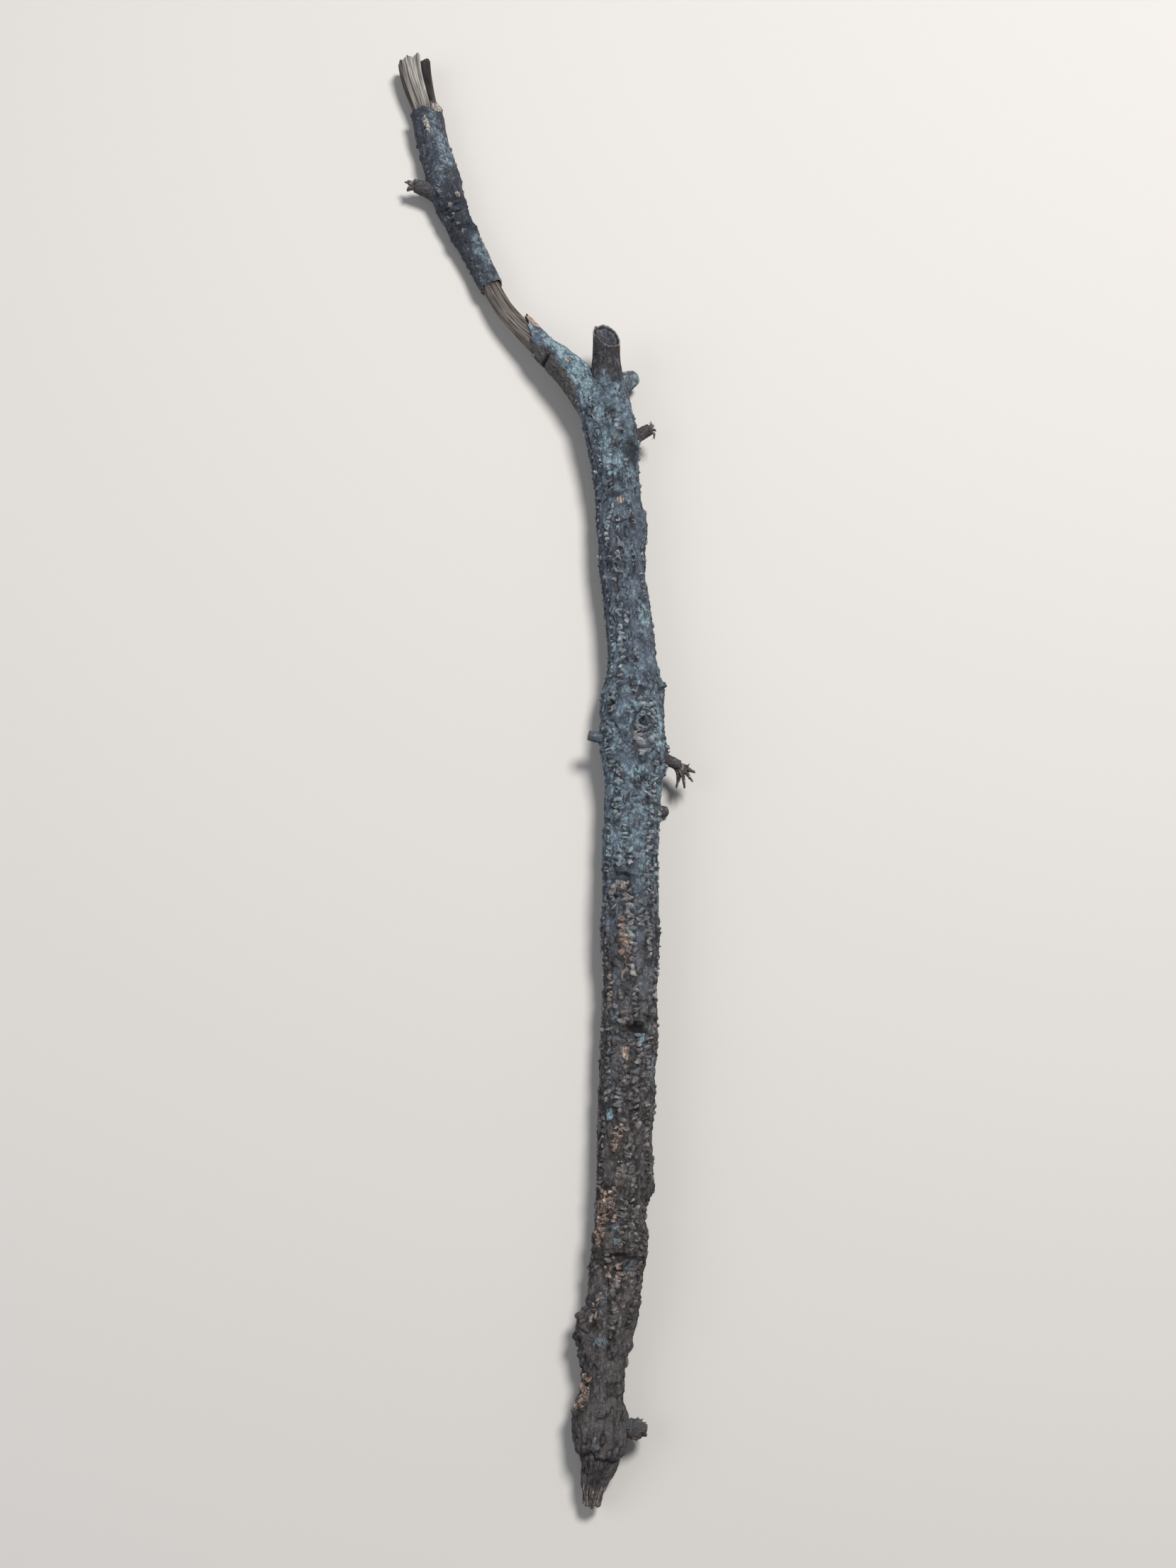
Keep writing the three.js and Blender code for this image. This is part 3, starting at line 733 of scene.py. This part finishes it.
def ledge_relief(skin, ledges):
    """Torn edges where a layer of bark ends: the height of the layer, and the painted shadow under its edge.
    """
    height = np.zeros(skin.along.shape)
    shade = np.zeros(skin.along.shape)
    ring = on_circle(skin.turn)
    for number, (y, side, step, fade, turn, half_turn) in enumerate(ledges):
        edge = y + 6 * noise_at(ring, 0.5, 40 + number) + 2.5 * noise_at(ring, 0.16, 60 + number)
        beyond = (skin.middle[..., 1] - edge) * side
        off = np.abs(swing(skin.turn - math.radians(turn)))
        there = ramp(off, math.radians(half_turn), math.radians(half_turn) * 0.7)
        height += there * step * ramp(beyond, -0.5, 0.5) * ramp(beyond, fade, 0.2 * fade)
        # Painted shadow: a dark line just under the layer's edge.
        shade = np.maximum(shade, there * min(0.7, 0.6 * step) * bell(beyond, -0.9, 0.8))
    return height, shade


def crotch_shade(skin):
    """Painted shade in the crotch round the leader's base, darkest nearest to it."""
    points = skin.points()
    away = np.linalg.norm(points - np.array(LEADER_LINE[1]), axis=-1) + 4 * noise_at(points, 6, 25)
    return 0.62 * ramp(away, 17, 10)


def hidden_runs(draw, turns_there, top, bottom):
    """Runs of pores for a side that isn't seen from above, at those turns in degrees, with gaps between."""
    runs = []
    for turn in turns_there:
        y = top - draw.uniform(0, 20)
        while y > bottom:
            end_y = y - draw.uniform(12, 45)
            kind = draw.choice(["eyes", "bars", "blocks", "warts"])
            end_turn = turn + draw.normal(0, 5)
            half = draw.uniform(1.4, 2.8)
            tan = draw.uniform(0, 0.3)
            runs.append((y, turn, end_y, end_turn, half, kind, tan))
            y = end_y - draw.uniform(4, 22)
    return runs


def run_ground(skin, runs):
    """Corky ground under runs of pores: 1 along a run's middle and 0 on the smooth bark beside it."""
    ground = np.zeros(skin.along.shape)
    middle_y = skin.middle[:, 0, 1]
    margin = 8
    for y, turn, end_y, end_turn, half, *_ in runs:
        rows = np.flatnonzero((middle_y < y + margin) & (middle_y > end_y - margin))
        here = skin.middle[rows, :, 1]
        share = np.clip((here - y) / (end_y - y), 0, 1)
        middle_turn = np.radians(turn + (end_turn - turn) * share)
        side = swing(skin.turn - middle_turn) * skin.radius[rows]
        away = np.hypot(here - y - (end_y - y) * share, side)
        ground[rows] = np.maximum(ground[rows], ramp(away, 1.6 * half, 0.8 * half))
    return ground


def stem_rings(skin, runs):
    """Gives the stem's skin its relief and its values, and returns it as rings with closed ends."""
    ground = run_ground(skin, runs)
    crust = 0.6 * skin.grain(2.0, 2.0, 12) + 0.4 * skin.grain(1.2, 1.2, 13)
    lumpy = skin.by_y(
        (-350, 0.0), (-300, 0.5), (-270, 0.8), (-150, 0.7), (-120, 0.4), (-50, 0.3), (270, 0.2),
    )
    lumpy *= ramp(skin.lumps(15, 31), 0.3, 0.05)
    lumpy *= ramp(skin.grain(5, 45, 8), -0.25, 0.25)
    pebble = pebbles(skin, (4.6, 4.6, 3.4), 4)
    knots, pit_shade = knot_relief(skin, STEM_KNOTS)
    ledges, ledge_shade = ledge_relief(skin, STEM_LEDGES)
    furrow = skin.grain(1.9, 16, 33)
    furrowed = skin.by_y((-408, 1.0), (-360, 0.8), (-345, 0.3), (-250, 0.0))
    crease = ramp(np.abs(skin.grain(5, 8, 41)), 0.13, 0.02)
    crease *= ramp(skin.lumps(12, 42), -0.1, 0.2)
    knobby = skin.by_y((-408, 0.3), (-370, 1.0), (-230, 1.0), (-180, 0.0))
    bare = skin.near_spots(STEM_BARE)

    relief = bark_relief(skin, swell=0.6, ridge=0.7, rough=0.45) + knots + ledges
    skin.radius += relief + 0.8 * furrowed * furrow - 0.6 * crease
    skin.radius -= skin.by_y((-408, 0.4), (-380, 0.9), (-240, 0.9), (-200, 0.2))
    skin.radius += knobby * (1.3 * skin.lumps(9, 35) + 0.7 * skin.lumps(4.5, 36))
    cork = lumpy * (pebble - 0.6) * 1.2 + ground * (0.55 + 0.8 * crust)
    skin.radius += cork - 0.45 * ramp(bare, 0.45, 0.6)

    # Painted shade: dark in knot pits, under ledges, in the crotch, at dark spots, in creases, furrow
    # troughs and pebble grooves, and on the corky ground between the pores.
    hollow = np.maximum.reduce([
        pit_shade,
        ledge_shade,
        crotch_shade(skin),
        skin.near_spots(STEM_SHADE),
        0.75 * crease,
        0.5 * furrowed * ramp(furrow, -0.22, -0.45),
        0.75 * lumpy * ramp(pebble, 0.35, 0.0),
        ground * (0.55 + 0.35 * ramp(crust, 0.0, -0.4)),
    ])
    # Pebble and crust tops are marked paler: partly paler cork, partly a painted highlight.
    crest = np.maximum(lumpy * ramp(pebble, 0.5, 1.0), 0.6 * ground * ramp(crust, 0.0, 0.4))
    lichen = skin.by_y(
        (-408, 0.0), (-330, 0.18), (-300, 0.18), (-250, 0.16), (-160, 0.3), (-100, 0.3), (-45, 0.5),
        (55, 0.5), (85, 0.42), (160, 0.34), (195, 0.4), (260, 0.5),
    )
    lichen += 0.14 * skin.lumps(24, 14)
    skin.lichen = np.maximum(lichen, skin.near_spots(STEM_LICHEN))
    skin.stain = skin.by_y(
        (-408, 1.0), (-270, 0.85), (-200, 0.72), (-110, 0.58), (-40, 0.3), (60, 0.22), (100, 0.12),
        (270, 0.12),
    )
    foot_wood = 0.5 * skin.by_y((-400, 1.0), (-386, 0.0)) * ramp(furrow, 0.05, 0.35)
    bare = np.maximum.reduce([bare, 0.45 * skin.near_spots(STEM_TAN), foot_wood])
    rings = Rings(skin, lichen=skin.lichen, stain=skin.stain, hollow=hollow, bare=bare, crest=crest)
    # The broken foot end's face gets some painted shade.
    rings.close(False, [(0.92, 0.8, 1.0), (0.7, 0.4, 1.8), (0.5, 0.2, 2.0), (0.4, 0.6, 1.4)], hollow=0.35)
    rings.close(True, [(0.7, 1.5, 0.5), (0.35, 2.5, 0.5)])
    return rings


def make_stem():
    """The stem's bark and its pores, each in a lower and an upper piece."""
    columns = 160
    skin = Skin(STEM_LINE, 0.55, columns, near=ragged(columns, depth=4, teeth=1.6, seed=3))
    skin.read_solid("main_stem", reach=30, along_passes=60, around_passes=14)
    draw = np.random.default_rng(11)
    runs = STEM_RUNS + hidden_runs(draw, (92, 122, 152, 182, 212, 242, 270), top=235, bottom=-345)
    rings = stem_rings(skin, runs)
    middle = len(rings.points) // 2
    split = skin.middle[middle, 0, 1]
    lower = [run for run in runs if run[0] < split]
    upper = [run for run in runs if run[0] >= split]
    for half, low, high, runs_here in (("lower", 0, middle + 1, lower), ("upper", middle, None, upper)):
        make_tube(rings, f"stem_bark_{half}", BARK, "bark", "main_stem", low, high)
        make_pores(f"stem_pores_{half}", "bark", draw, skin, runs_here)


# A pore is a small oval dome: rings of points at these shares of its size, with its edge sunk into the
# bark. Its rim stands highest, and its middle dips by as much as its kind says.
PORE_RINGS = np.array([1.0, 0.82, 0.62, 0.42, 0.2, 0.0])
PORE_RIM = np.array([0, 0.75, 1, 0.6, 0.15, 0])
PORE_DIP = np.array([0, 0, 0, 0.45, 0.9, 1])
PORE_SIDES = 12
PORE_SINK = 0.35

# How uneven pores are: waves and roughness of the outline, how squarish it is, and crumbling of the rim.
PORE_WAVES = 0.14
PORE_ROUGH = 0.04
PORE_SQUARE = 0.85
PORE_CRUMBLE = 0.1

# Packed pebbles keep this far apart and are at most this wide, from the middle.
BLOCK_SPACING = 2.1
BLOCK_WIDEST = 2.6


def scattered(draw, length, half, spacing):
    """Places (along, across) scattered over a strip, none of them closer to another than that spacing."""
    places = []
    for _ in range(int(2.5 * length * half / spacing)):
        place = np.array([draw.uniform(0, length), draw.uniform(-half, half)])
        if all(math.dist(place, other) > spacing for other in places):
            places.append(place)
    return places


def run_pores(draw, skin, run):
    """The pores of one run, each (along, turn, half width, half length, height, middle, lean, tan).

    The middle is its height there as a share, below 0 for a slit.
    """
    y, turn, end_y, end_turn, half, kind, tan = run
    around = skin.radius.mean()
    length = math.hypot(end_y - y, math.radians(end_turn - turn) * around)
    slope = math.atan2(math.radians(turn - end_turn) * around, y - end_y)
    pores = []

    def add(done, across, wide, long, height, middle, lean):
        along = skin.along_at(y + (end_y - y) * done / length)
        here = math.radians(turn + (end_turn - turn) * done / length) + across / around
        pores.append((along, here, wide, long, height, middle, slope + draw.normal(0, lean), tan))

    if kind == "blocks":
        for done, across in scattered(draw, length, 0.8 * half, BLOCK_SPACING):
            wide = min(0.8 + draw.gamma(2.0, 0.45), BLOCK_WIDEST)
            long = wide * draw.uniform(0.6, 1.1)
            add(done, across, wide, long, draw.uniform(0.6, 1.3), draw.choice([0.2, 0.6, 1.0]), 0.4)
        return pores
    done = 0.0
    while done < length:
        sway = draw.normal(0, 0.2 * half)
        wide = half * draw.uniform(0.6, 1.4)
        if kind == "eyes":
            long = wide * draw.uniform(0.8, 1.8)
            add(done, sway, wide, long, 1.0, draw.uniform(-0.4, 0.1), 0.35)
            done += 1.7 * long + draw.exponential(0.8)
        elif kind == "slabs":
            long = draw.uniform(0.9, 2.6)
            parts = 2 if half > 2.9 and draw.random() < 0.4 else 1
            for part in range(parts):
                across = 1.5 * sway + half * (2 * part - parts + 1) / 2
                wide = half / parts * draw.uniform(0.6, 1.25)
                place = done + draw.normal(0, 0.5)
                add(place, across, wide, long, draw.uniform(0.5, 1.3), draw.uniform(0.3, 1.0), 0.4)
            done += 1.6 * long + draw.exponential(0.4)
        elif kind == "bars":
            long = draw.uniform(0.8, 1.6)
            add(done, 1.5 * sway, wide, long, draw.uniform(0.4, 1.1), 0.5, 0.45)
            done += 1.6 * long + draw.exponential(1.2)
        else:
            long = wide * draw.uniform(0.7, 1.3)
            add(done, 2 * sway, wide, long, draw.uniform(0.4, 0.9), 0.8, 0.5)
            done += 2 * wide + draw.exponential(3.5)
    return pores


def pore_domes(draw, half_width, half_length, height, centre, lean):
    """The shapes of pores: how far across and along each point lies, its lift and its share of a crest."""
    count = len(height)
    angle = turns(PORE_SIDES)[None, None, :]
    ring = PORE_RINGS[None, :, None]
    outline = 1 + PORE_ROUGH * draw.standard_normal((count, 1, PORE_SIDES))
    for waves in (2, 3, 4):
        shift = draw.uniform(0, 2 * math.pi, (count, 1, 1))
        outline = outline + PORE_WAVES * np.cos(waves * angle + shift)
    wide, long = (np.sign(way) * np.abs(way) ** PORE_SQUARE for way in (np.cos(angle), np.sin(angle)))
    wide = ring * outline * half_width * wide
    long = ring * outline * half_length * long
    across = wide * np.cos(lean) - long * np.sin(lean)
    along = wide * np.sin(lean) + long * np.cos(lean)
    open_side = draw.uniform(0, 2 * math.pi, (count, 1, 1))
    open_share = np.where(centre < 0.15, 0.62, 0.4)
    rim = PORE_RIM[None, :, None] * (1 - open_share + open_share * np.cos(angle - open_side))
    dip = PORE_DIP[None, :, None]
    crest = rim + dip * np.clip(centre, 0, 1)
    crumbs = draw.standard_normal((count, len(PORE_RINGS), PORE_SIDES))
    crumble = 1 + PORE_CRUMBLE * crumbs * (ring > 0)
    lift = height * (crest * crumble + dip * np.minimum(centre, 0)) - PORE_SINK * ramp(ring, 0.7, 1)
    return across, along, lift, crest


def add_pores(piece, skin, pores, draw):
    """Sets pores on a skin, each as a patch that follows the skin."""
    start, turn, *shape, tan = (values[:, None, None] for values in np.array(pores).T)
    across, along, lift, crest = pore_domes(draw, *shape)
    centre = shape[3]
    count = len(pores)
    rows, columns = skin.along.shape
    row = np.clip((start + along) / skin.length * (rows - 1), 0, rows - 1.001)
    column = (turn + across / skin.radius.mean()) / (2 * math.pi) * columns
    low_row, low_column = np.floor(row).astype(int), np.floor(column).astype(int)
    left, right = low_column % columns, (low_column + 1) % columns

    def on_skin(grid):
        grid = grid.reshape(rows, columns, -1)
        part_row, part_column = (row - low_row)[..., None], (column - low_column)[..., None]
        near = grid[low_row, left] * (1 - part_column) + grid[low_row, right] * part_column
        far = grid[low_row + 1, left] * (1 - part_column) + grid[low_row + 1, right] * part_column
        return near * (1 - part_row) + far * part_row

    surface = skin.points()
    sideways = np.roll(surface, -1, 1) - np.roll(surface, 1, 1)
    normal = unit(np.cross(sideways, np.gradient(surface, axis=0)))
    points = on_skin(surface)
    lift = lift + 0.35 * noise_at(points, 1.6, 51) * (lift > 0)
    points = points + unit(on_skin(normal)) * lift[..., None]
    values = {
        "lichen": on_skin(skin.lichen)[..., 0],
        "stain": on_skin(skin.stain)[..., 0],
        # Painted shade in the slit of an eye pore.
        "hollow": 0.7 * ramp(PORE_RINGS[None, :, None], 0.5, 0.15) * (centre < 0),
        "bare": tan * draw.uniform(0.7, 1.1, (count, 1, 1)),
        # Pore crests are paler: partly paler cork, partly a painted highlight.
        "crest": np.clip(crest, 0, 1) * draw.uniform(0.42, 1.2, (count, 1, 1)),
    }

    # The innermost ring is one point, so only its first copy is kept.
    rings = len(PORE_RINGS) - 1
    size = rings * PORE_SIDES + 1

    def flat(grid):
        return grid.reshape(count, -1, grid.shape[-1])[:, :size].reshape(count * size, -1)

    def flat_value(value):
        return flat(np.broadcast_to(value, points.shape[:3])[..., None])[:, 0]

    index = np.arange(size - 1).reshape(rings, PORE_SIDES)
    quads, after = ring_faces(index)
    caps = np.stack([index[-1], after[-1], np.full(PORE_SIDES, size - 1)], axis=-1)
    step = np.arange(count)[:, None, None] * size
    faces = [(quads + step).reshape(-1, 4), (caps + step).reshape(-1, 3)]
    values = {name: flat_value(value) for name, value in values.items()}
    piece.add(flat(points), flat(on_skin(skin.straight())), faces, values)


def make_pores(name, slot, draw, skin, runs, looks=PORES):
    piece = Piece()
    add_pores(piece, skin, [pore for run in runs for pore in run_pores(draw, skin, run)], draw)
    piece.make(name, looks, slot)


def make_collar():
    """The fork's barked arm: its bark breaks off on a slant and leaves a thin torn edge."""
    columns = 120
    torn_off = slant(columns, depth=24, long_turn=90) + ragged(columns, depth=7, teeth=3.4, seed=5)
    skin = Skin(COLLAR_LINE, 0.7, columns, far=torn_off)
    skin.read_solid("side_limb", reach=20, along_passes=20, around_passes=8)
    skin.radius += bark_relief(skin, swell=0.5, ridge=0.6, rough=0.42)
    crack = ramp(skin.away(276, -62, 1.0, 9), 1.3, 0.5)
    skin.radius -= 1.2 * crack
    skin.lichen = np.maximum(0.45, skin.near_spots(COLLAR_LICHEN))
    skin.stain = ramp(skin.away(268, -90, 26, 14), 1.2, 0.6)
    lichen = skin.lichen * (1 - 0.7 * skin.stain)
    # Painted shade in the crack and in the crotch.
    hollow = np.maximum(crack, crotch_shade(skin))
    edge = ramp(skin.along, skin.along[-1] - 3.5, skin.along[-1])
    torn = 0.7 * edge * ramp(skin.lumps(4, 27), -0.1, 0.3)
    bare = np.maximum(torn, skin.near_spots(COLLAR_BARE))
    rings = Rings(skin, lichen=lichen, stain=skin.stain, hollow=hollow, bare=bare)
    # The torn end's face gets some painted shade.
    rings.close(True, [(0.86, 0.2, 0.4), (0.74, -1.5, 0.4)], bare=0.6, hollow=0.35)
    make_tube(rings, "collar_bark", BARK, "bark", "side_limb")
    make_pores("collar_pores", "bark", np.random.default_rng(23), skin, COLLAR_RUNS)


def make_limb():
    """The bare wood of the side limb, with fibres, a deep split at its tip and a jagged break."""
    columns = 144
    skin = Skin(WOOD_LINE, 0.8, columns, far=ragged(columns, depth=8, teeth=2.4, seed=9))
    tip = ramp(skin.middle[..., 1], 440, 468)
    fibre = skin.grain(1.5, 70, 5) + 0.5 * skin.grain(0.7, 40, 6)
    skin.radius = skin.radius + 0.55 * fibre + 0.5 * tip * skin.grain(3, 20, 7)
    split = ramp(skin.away(482, 40, 25, 2.3), 1.2, 0.7)
    right_edge = ramp(skin.away(478, 95, 26, 7), 1.2, 0.7)
    left_edge = ramp(skin.away(478, -95, 26, 4), 1.2, 0.7)
    dark_edge = np.clip(right_edge + left_edge, 0, 1)
    skin.radius -= 5.5 * split
    gap = ramp(skin.away(480, 52, 26, 2.8), 1.2, 0.8)
    # Painted shade in the split, the gap and the fibre troughs.
    hollow = np.maximum.reduce([split, 0.9 * gap, 0.8 * ramp(fibre, -0.35, -0.75)])
    crest = tip * ramp(fibre, -0.6, 0.2) * (1 - dark_edge)
    rings = Rings(skin, hollow=hollow, crest=crest, stain=dark_edge)
    jagged = [(0.88, 0.6, 1.6), (0.66, -0.6, 2.4), (0.4, -1.0, 2.4), (0.18, 0.2, 2.0)]
    # The jagged break gets some painted shade.
    rings.close(True, jagged, seed=4, hollow=0.15)
    make_tube(rings, "limb_wood", WOOD, "bare_wood", "side_limb")


def make_sleeve():
    """The loose bark round the limb: a thin tube with torn ends and its inside showing."""
    columns = 128
    wall = 1.3
    inside = 12
    near = ragged(columns, depth=3, teeth=2.0, seed=12)
    far = 2 + ragged(columns, depth=6, teeth=2.2, seed=14)
    skin = Skin(SLEEVE_LINE, 0.7, columns, near, far)
    skin.read_solid("limb_bark", reach=18, along_passes=20, around_passes=6)
    knots, pit_shade = knot_relief(skin, SLEEVE_KNOTS)
    bare = skin.near_spots(SLEEVE_BARE)
    wrinkle = skin.grain(9, 2.2, 15)
    wrinkled = ramp(skin.away(374, 0, 22, 16), 1.2, 0.6)
    flare = ramp(skin.along, skin.length - 7, skin.length - 2)
    relief = bark_relief(skin, swell=0.6, ridge=0.5, rough=0.28) + knots
    skin.radius += relief + (0.2 + 0.8 * wrinkled) * wrinkle + 0.5 * bare
    skin.radius += 0.9 * skin.lumps(11, 19) + flare
    creases = wrinkled * ramp(wrinkle, -0.25, -0.5)
    # Painted shade in the knot pits, the creases and the dark spots.
    hollow = np.maximum.reduce([pit_shade, creases, skin.near_spots(SLEEVE_SHADE)])
    skin.lichen = np.maximum(0.24 + 0.2 * skin.lumps(9, 43), skin.near_spots(SLEEVE_LICHEN))
    skin.stain = np.full(skin.along.shape, 0.3)
    rings = Rings(skin, lichen=skin.lichen, stain=skin.stain, hollow=hollow, bare=bare)
    share = 1 - wall / skin.radius.mean()
    # Painted shade at the torn ends, and deep on the tube's inside.
    for far_end in (False, True):
        rings.close(far_end, [(share + 0.06, 0.3, 0.5), (share, -0.4, 0.5)], bare=0.6, hollow=0.15)
        rings.close(far_end, [(1.0, -inside, 0.0)], hollow=0.9)
    make_tube(rings, "limb_sleeve", LIMB_BARK, "limb_bark", "limb_bark")
    draw = np.random.default_rng(31)
    runs = SLEEVE_RUNS + hidden_runs(draw, (100, 150, 200, 250), top=445, bottom=345)
    make_pores("sleeve_pores", "limb_bark", draw, skin, runs, LIMB_BARK)


def make_leader():
    """The snapped leader: dark smooth bark, and a slanted end face with a pale rim round a rotted middle."""
    columns = 96
    snapped = 1.5 + slant(columns, depth=13, long_turn=208) + ragged(columns, depth=2, teeth=1.8, seed=17)
    skin = Skin(LEADER_LINE, 0.6, columns, far=snapped)
    skin.read_solid("leader_stub", reach=22, along_passes=14, around_passes=5)
    skin.radius *= 0.97 + 0.22 * ramp(skin.middle[..., 1], 272, 254)
    skin.radius += bark_relief(skin, swell=0.3, ridge=0.35, rough=0.14)
    blotchy = skin.middle[..., 1] + 8 * skin.lumps(7, 47)
    lichen = ramp(blotchy, 270, 256) * 0.6
    # Painted shade near the crotch.
    rings = Rings(skin, stain=ramp(blotchy, 256, 268), lichen=lichen, hollow=0.5 * crotch_shade(skin))
    rim = [(0.99, 0.35, 0.3), (0.96, 0.3, 0.3)]
    groove = [(0.92, -0.9, 0.5), (0.86, -1.7, 0.6)]
    inner_rim = [(0.92, 0.8, 0.6), (0.88, 0.3, 0.6)]
    rotted = [(0.85, -1.6, 0.9), (0.5, -2.2, 1.2), (0.2, -1.2, 0.9)]
    rings.close(True, rim, seed=2, crest=1.0, bare=0.42, stain=0.3)
    # Painted shade in the groove, on the inner rim and in the sunken rotted middle.
    rings.close(True, groove, seed=3, crest=0.2, bare=0.0, hollow=0.7)
    rings.close(True, inner_rim, seed=4, crest=0.5, lichen=0.35, hollow=0.2)
    rings.close(True, rotted, seed=5, crest=0.2, hollow=0.4)
    make_tube(rings, "leader_bark", LIMB_BARK, "limb_bark", "leader_stub")


def add_strand(piece, points, radii, **values):
    """One fibre: a thin tapering rod through the points."""
    skin = Skin([(*point, radius) for point, radius in zip(points, radii)], 0.9, 6)
    piece.add_tube(Rings(skin, **values))


def add_fray(piece, twig, ends, draw, thick, values):
    """Strands that splay from a twig's end to the given ends, each with thinner ones beside it."""
    twig = np.array(twig, float)
    root, tip = (twig[-2, :3] + 2 * twig[-1, :3]) / 3, twig[-1, :3]
    taper = np.array([1, 0.85, 0.3])
    for end in np.array(ends, float):
        for thinner in (1.0, 0.6, 0.45):
            stray = draw.normal(0, 0.9 * (1.25 - thinner), (2, 3))
            bend = tip + (end - tip) * 0.4 + (tip - root) * 0.25 + stray[0]
            reach = end + stray[1] - (end - tip) * draw.uniform(0, 0.25) * (1 - thinner)
            start = root + (bend - tip) * 0.2
            add_strand(piece, [start, bend, reach], taper * thick * thinner, **values)


def twig_skin(stations, wrinkle):
    """A twig's barked rod, with ring wrinkles of that height."""
    skin = Skin(stations, 0.5, 40)
    wrinkles = wrinkle * skin.grain(6, 1.5, 21)
    relief = bark_relief(skin, swell=0.2, ridge=0.25, rough=0.14)
    skin.radius = skin.radius + relief + wrinkles
    return skin


def make_twigs():
    """The broken twigs and the spur: short barked rods with a blunt end, or one that frays into strands."""
    draw = np.random.default_rng(41)
    blunt = [(0.9, 0.5, 0.3), (0.6, 0.5, 0.6), (0.3, 0.2, 0.6)]
    for name, node, stations, ends, thick, wrinkle, lichen, stain in (
        ("upper_twig_bark", "upper_twig", UPPER_TWIG, UPPER_TWIG_ENDS, 0.9, 0.15, 0.05, 0.8),
        ("left_twig_bark", "left_twig", LEFT_TWIG, [], 0, 0.3, 0.3, 0.2),
        ("frayed_twig_bark", "frayed_twig", FRAYED_TWIG, FRAYED_TWIG_ENDS, 1.5, 0.3, 0.05, 0.7),
        ("back_twig_bark", "back_twig", BACK_TWIG, [], 0, 0.2, 0.1, 0.6),
        ("limb_twig_bark", "limb_twig", LIMB_TWIG, LIMB_TWIG_ENDS, 2.3, 0.2, 0.1, 0.6),
        ("spur_bark", "fork_spur", SPUR, [], 0, 0.3, 0.42, 0.35),
    ):
        piece = Piece()
        rings = Rings(twig_skin(stations, wrinkle), lichen=lichen, stain=stain)
        # The blunt ends get some painted shade.
        rings.close(True, blunt, hollow=0.3, bare=0.4)
        piece.add_tube(rings)
        add_fray(piece, stations, ends, draw, thick, {"bare": 0.3, "stain": 0.8})
        piece.make(name, TWIG_BARK, "twig_bark", node)


def make_foot_twig():
    """The thick stub at the foot: a narrow neck and a swollen soft end with a fuzz of short fibres."""
    draw = np.random.default_rng(43)
    fibres = 200
    piece = Piece()
    skin = twig_skin(FOOT_TWIG, 1.0)
    rings = Rings(skin, lichen=0.2, stain=0.6)
    soft = [(0.93, 0.9, 0.7), (0.8, 1.0, 0.9), (0.55, 0.7, 0.9), (0.25, 0.3, 0.6)]
    # The soft end gets some painted shade.
    rings.close(True, soft, hollow=0.2, bare=0.5)
    piece.add_tube(rings)
    points = skin.points()
    rows, columns = skin.along.shape
    for _ in range(fibres):
        row = int(rows * (1 - 0.5 * draw.random())) - 1
        column = draw.integers(columns)
        root, out, ahead = points[row, column], skin.out[row, column], skin.forward[row, column]
        lean = out * draw.uniform(0.1, 0.8) + ahead * draw.uniform(0.2, 1.2) + draw.normal(0, 0.35, 3)
        length = draw.uniform(0.3, 1.0)
        line = [root - out * 0.5, root + lean * 0.5 * length, root + lean * length + draw.normal(0, 0.3, 3)]
        add_strand(piece, line, (0.24, 0.2, 0.08), bare=draw.uniform(0.2, 0.8), stain=0.9, lichen=0.3)
    piece.make("foot_twig_bark", TWIG_BARK, "twig_bark", "foot_twig")


def make_floor():
    half = 6.0
    corners = [(-half, -half, 0), (half, -half, 0), (half, half, 0), (-half, half, 0)]
    mesh = bpy.data.meshes.new("floor")
    mesh.from_pydata(corners, [], [(0, 1, 2, 3)])
    looks = bpy.data.materials.new("floor")
    looks.use_nodes = True
    shader = looks.node_tree.nodes["Principled BSDF"]
    shader.inputs["Base Color"].default_value = (0.62, 0.6, 0.58, 1)
    shader.inputs["Roughness"].default_value = 0.9
    mesh.materials.append(looks)
    floor = add_object("floor", mesh)


def add_light(name, place, size, power, colour):
    """A round soft light that shines on the branch from a place in metres."""
    light = bpy.data.lights.new(name, "AREA")
    light.shape = "DISK"
    light.size = size
    light.energy = power
    light.color = colour
    made = add_object(name, light)
    made.location = place
    made.rotation_euler = (-Vector(place)).to_track_quat("-Z", "Y").to_euler()


def set_light():
    scene = bpy.context.scene
    scene.view_settings.view_transform = "Standard"
    scene.world = scene.world or bpy.data.worlds.new("world")
    scene.world.use_nodes = True
    background = scene.world.node_tree.nodes["Background"]
    background.inputs["Color"].default_value = (0.93, 0.96, 1.0, 1)
    background.inputs["Strength"].default_value = 0.22
    add_light("key", (0.8, 0.9, 2.2), size=0.7, power=66, colour=(1.0, 0.98, 0.95))
    add_light("fill", (-1.4, -0.2, 1.3), size=1.6, power=9, colour=(0.93, 0.96, 1.0))


def set_camera():
    """The camera looks down on the branch, leaning a little towards its foot."""
    tilt = math.radians(15)
    distance = 1290
    target = np.array([0, 0, 18]) + ORIGIN
    camera = bpy.data.cameras.new("camera")
    camera.lens = 50
    camera.sensor_width = 36
    made = add_object("camera", camera)
    made.location = (target + distance * np.array([0, -math.sin(tilt), math.cos(tilt)])) * MM
    made.rotation_euler = (tilt, 0, 0)
    bpy.context.scene.camera = made


make_stem()
make_collar()
make_limb()
make_sleeve()
make_leader()
make_twigs()
make_foot_twig()
make_floor()
set_light()
set_camera()
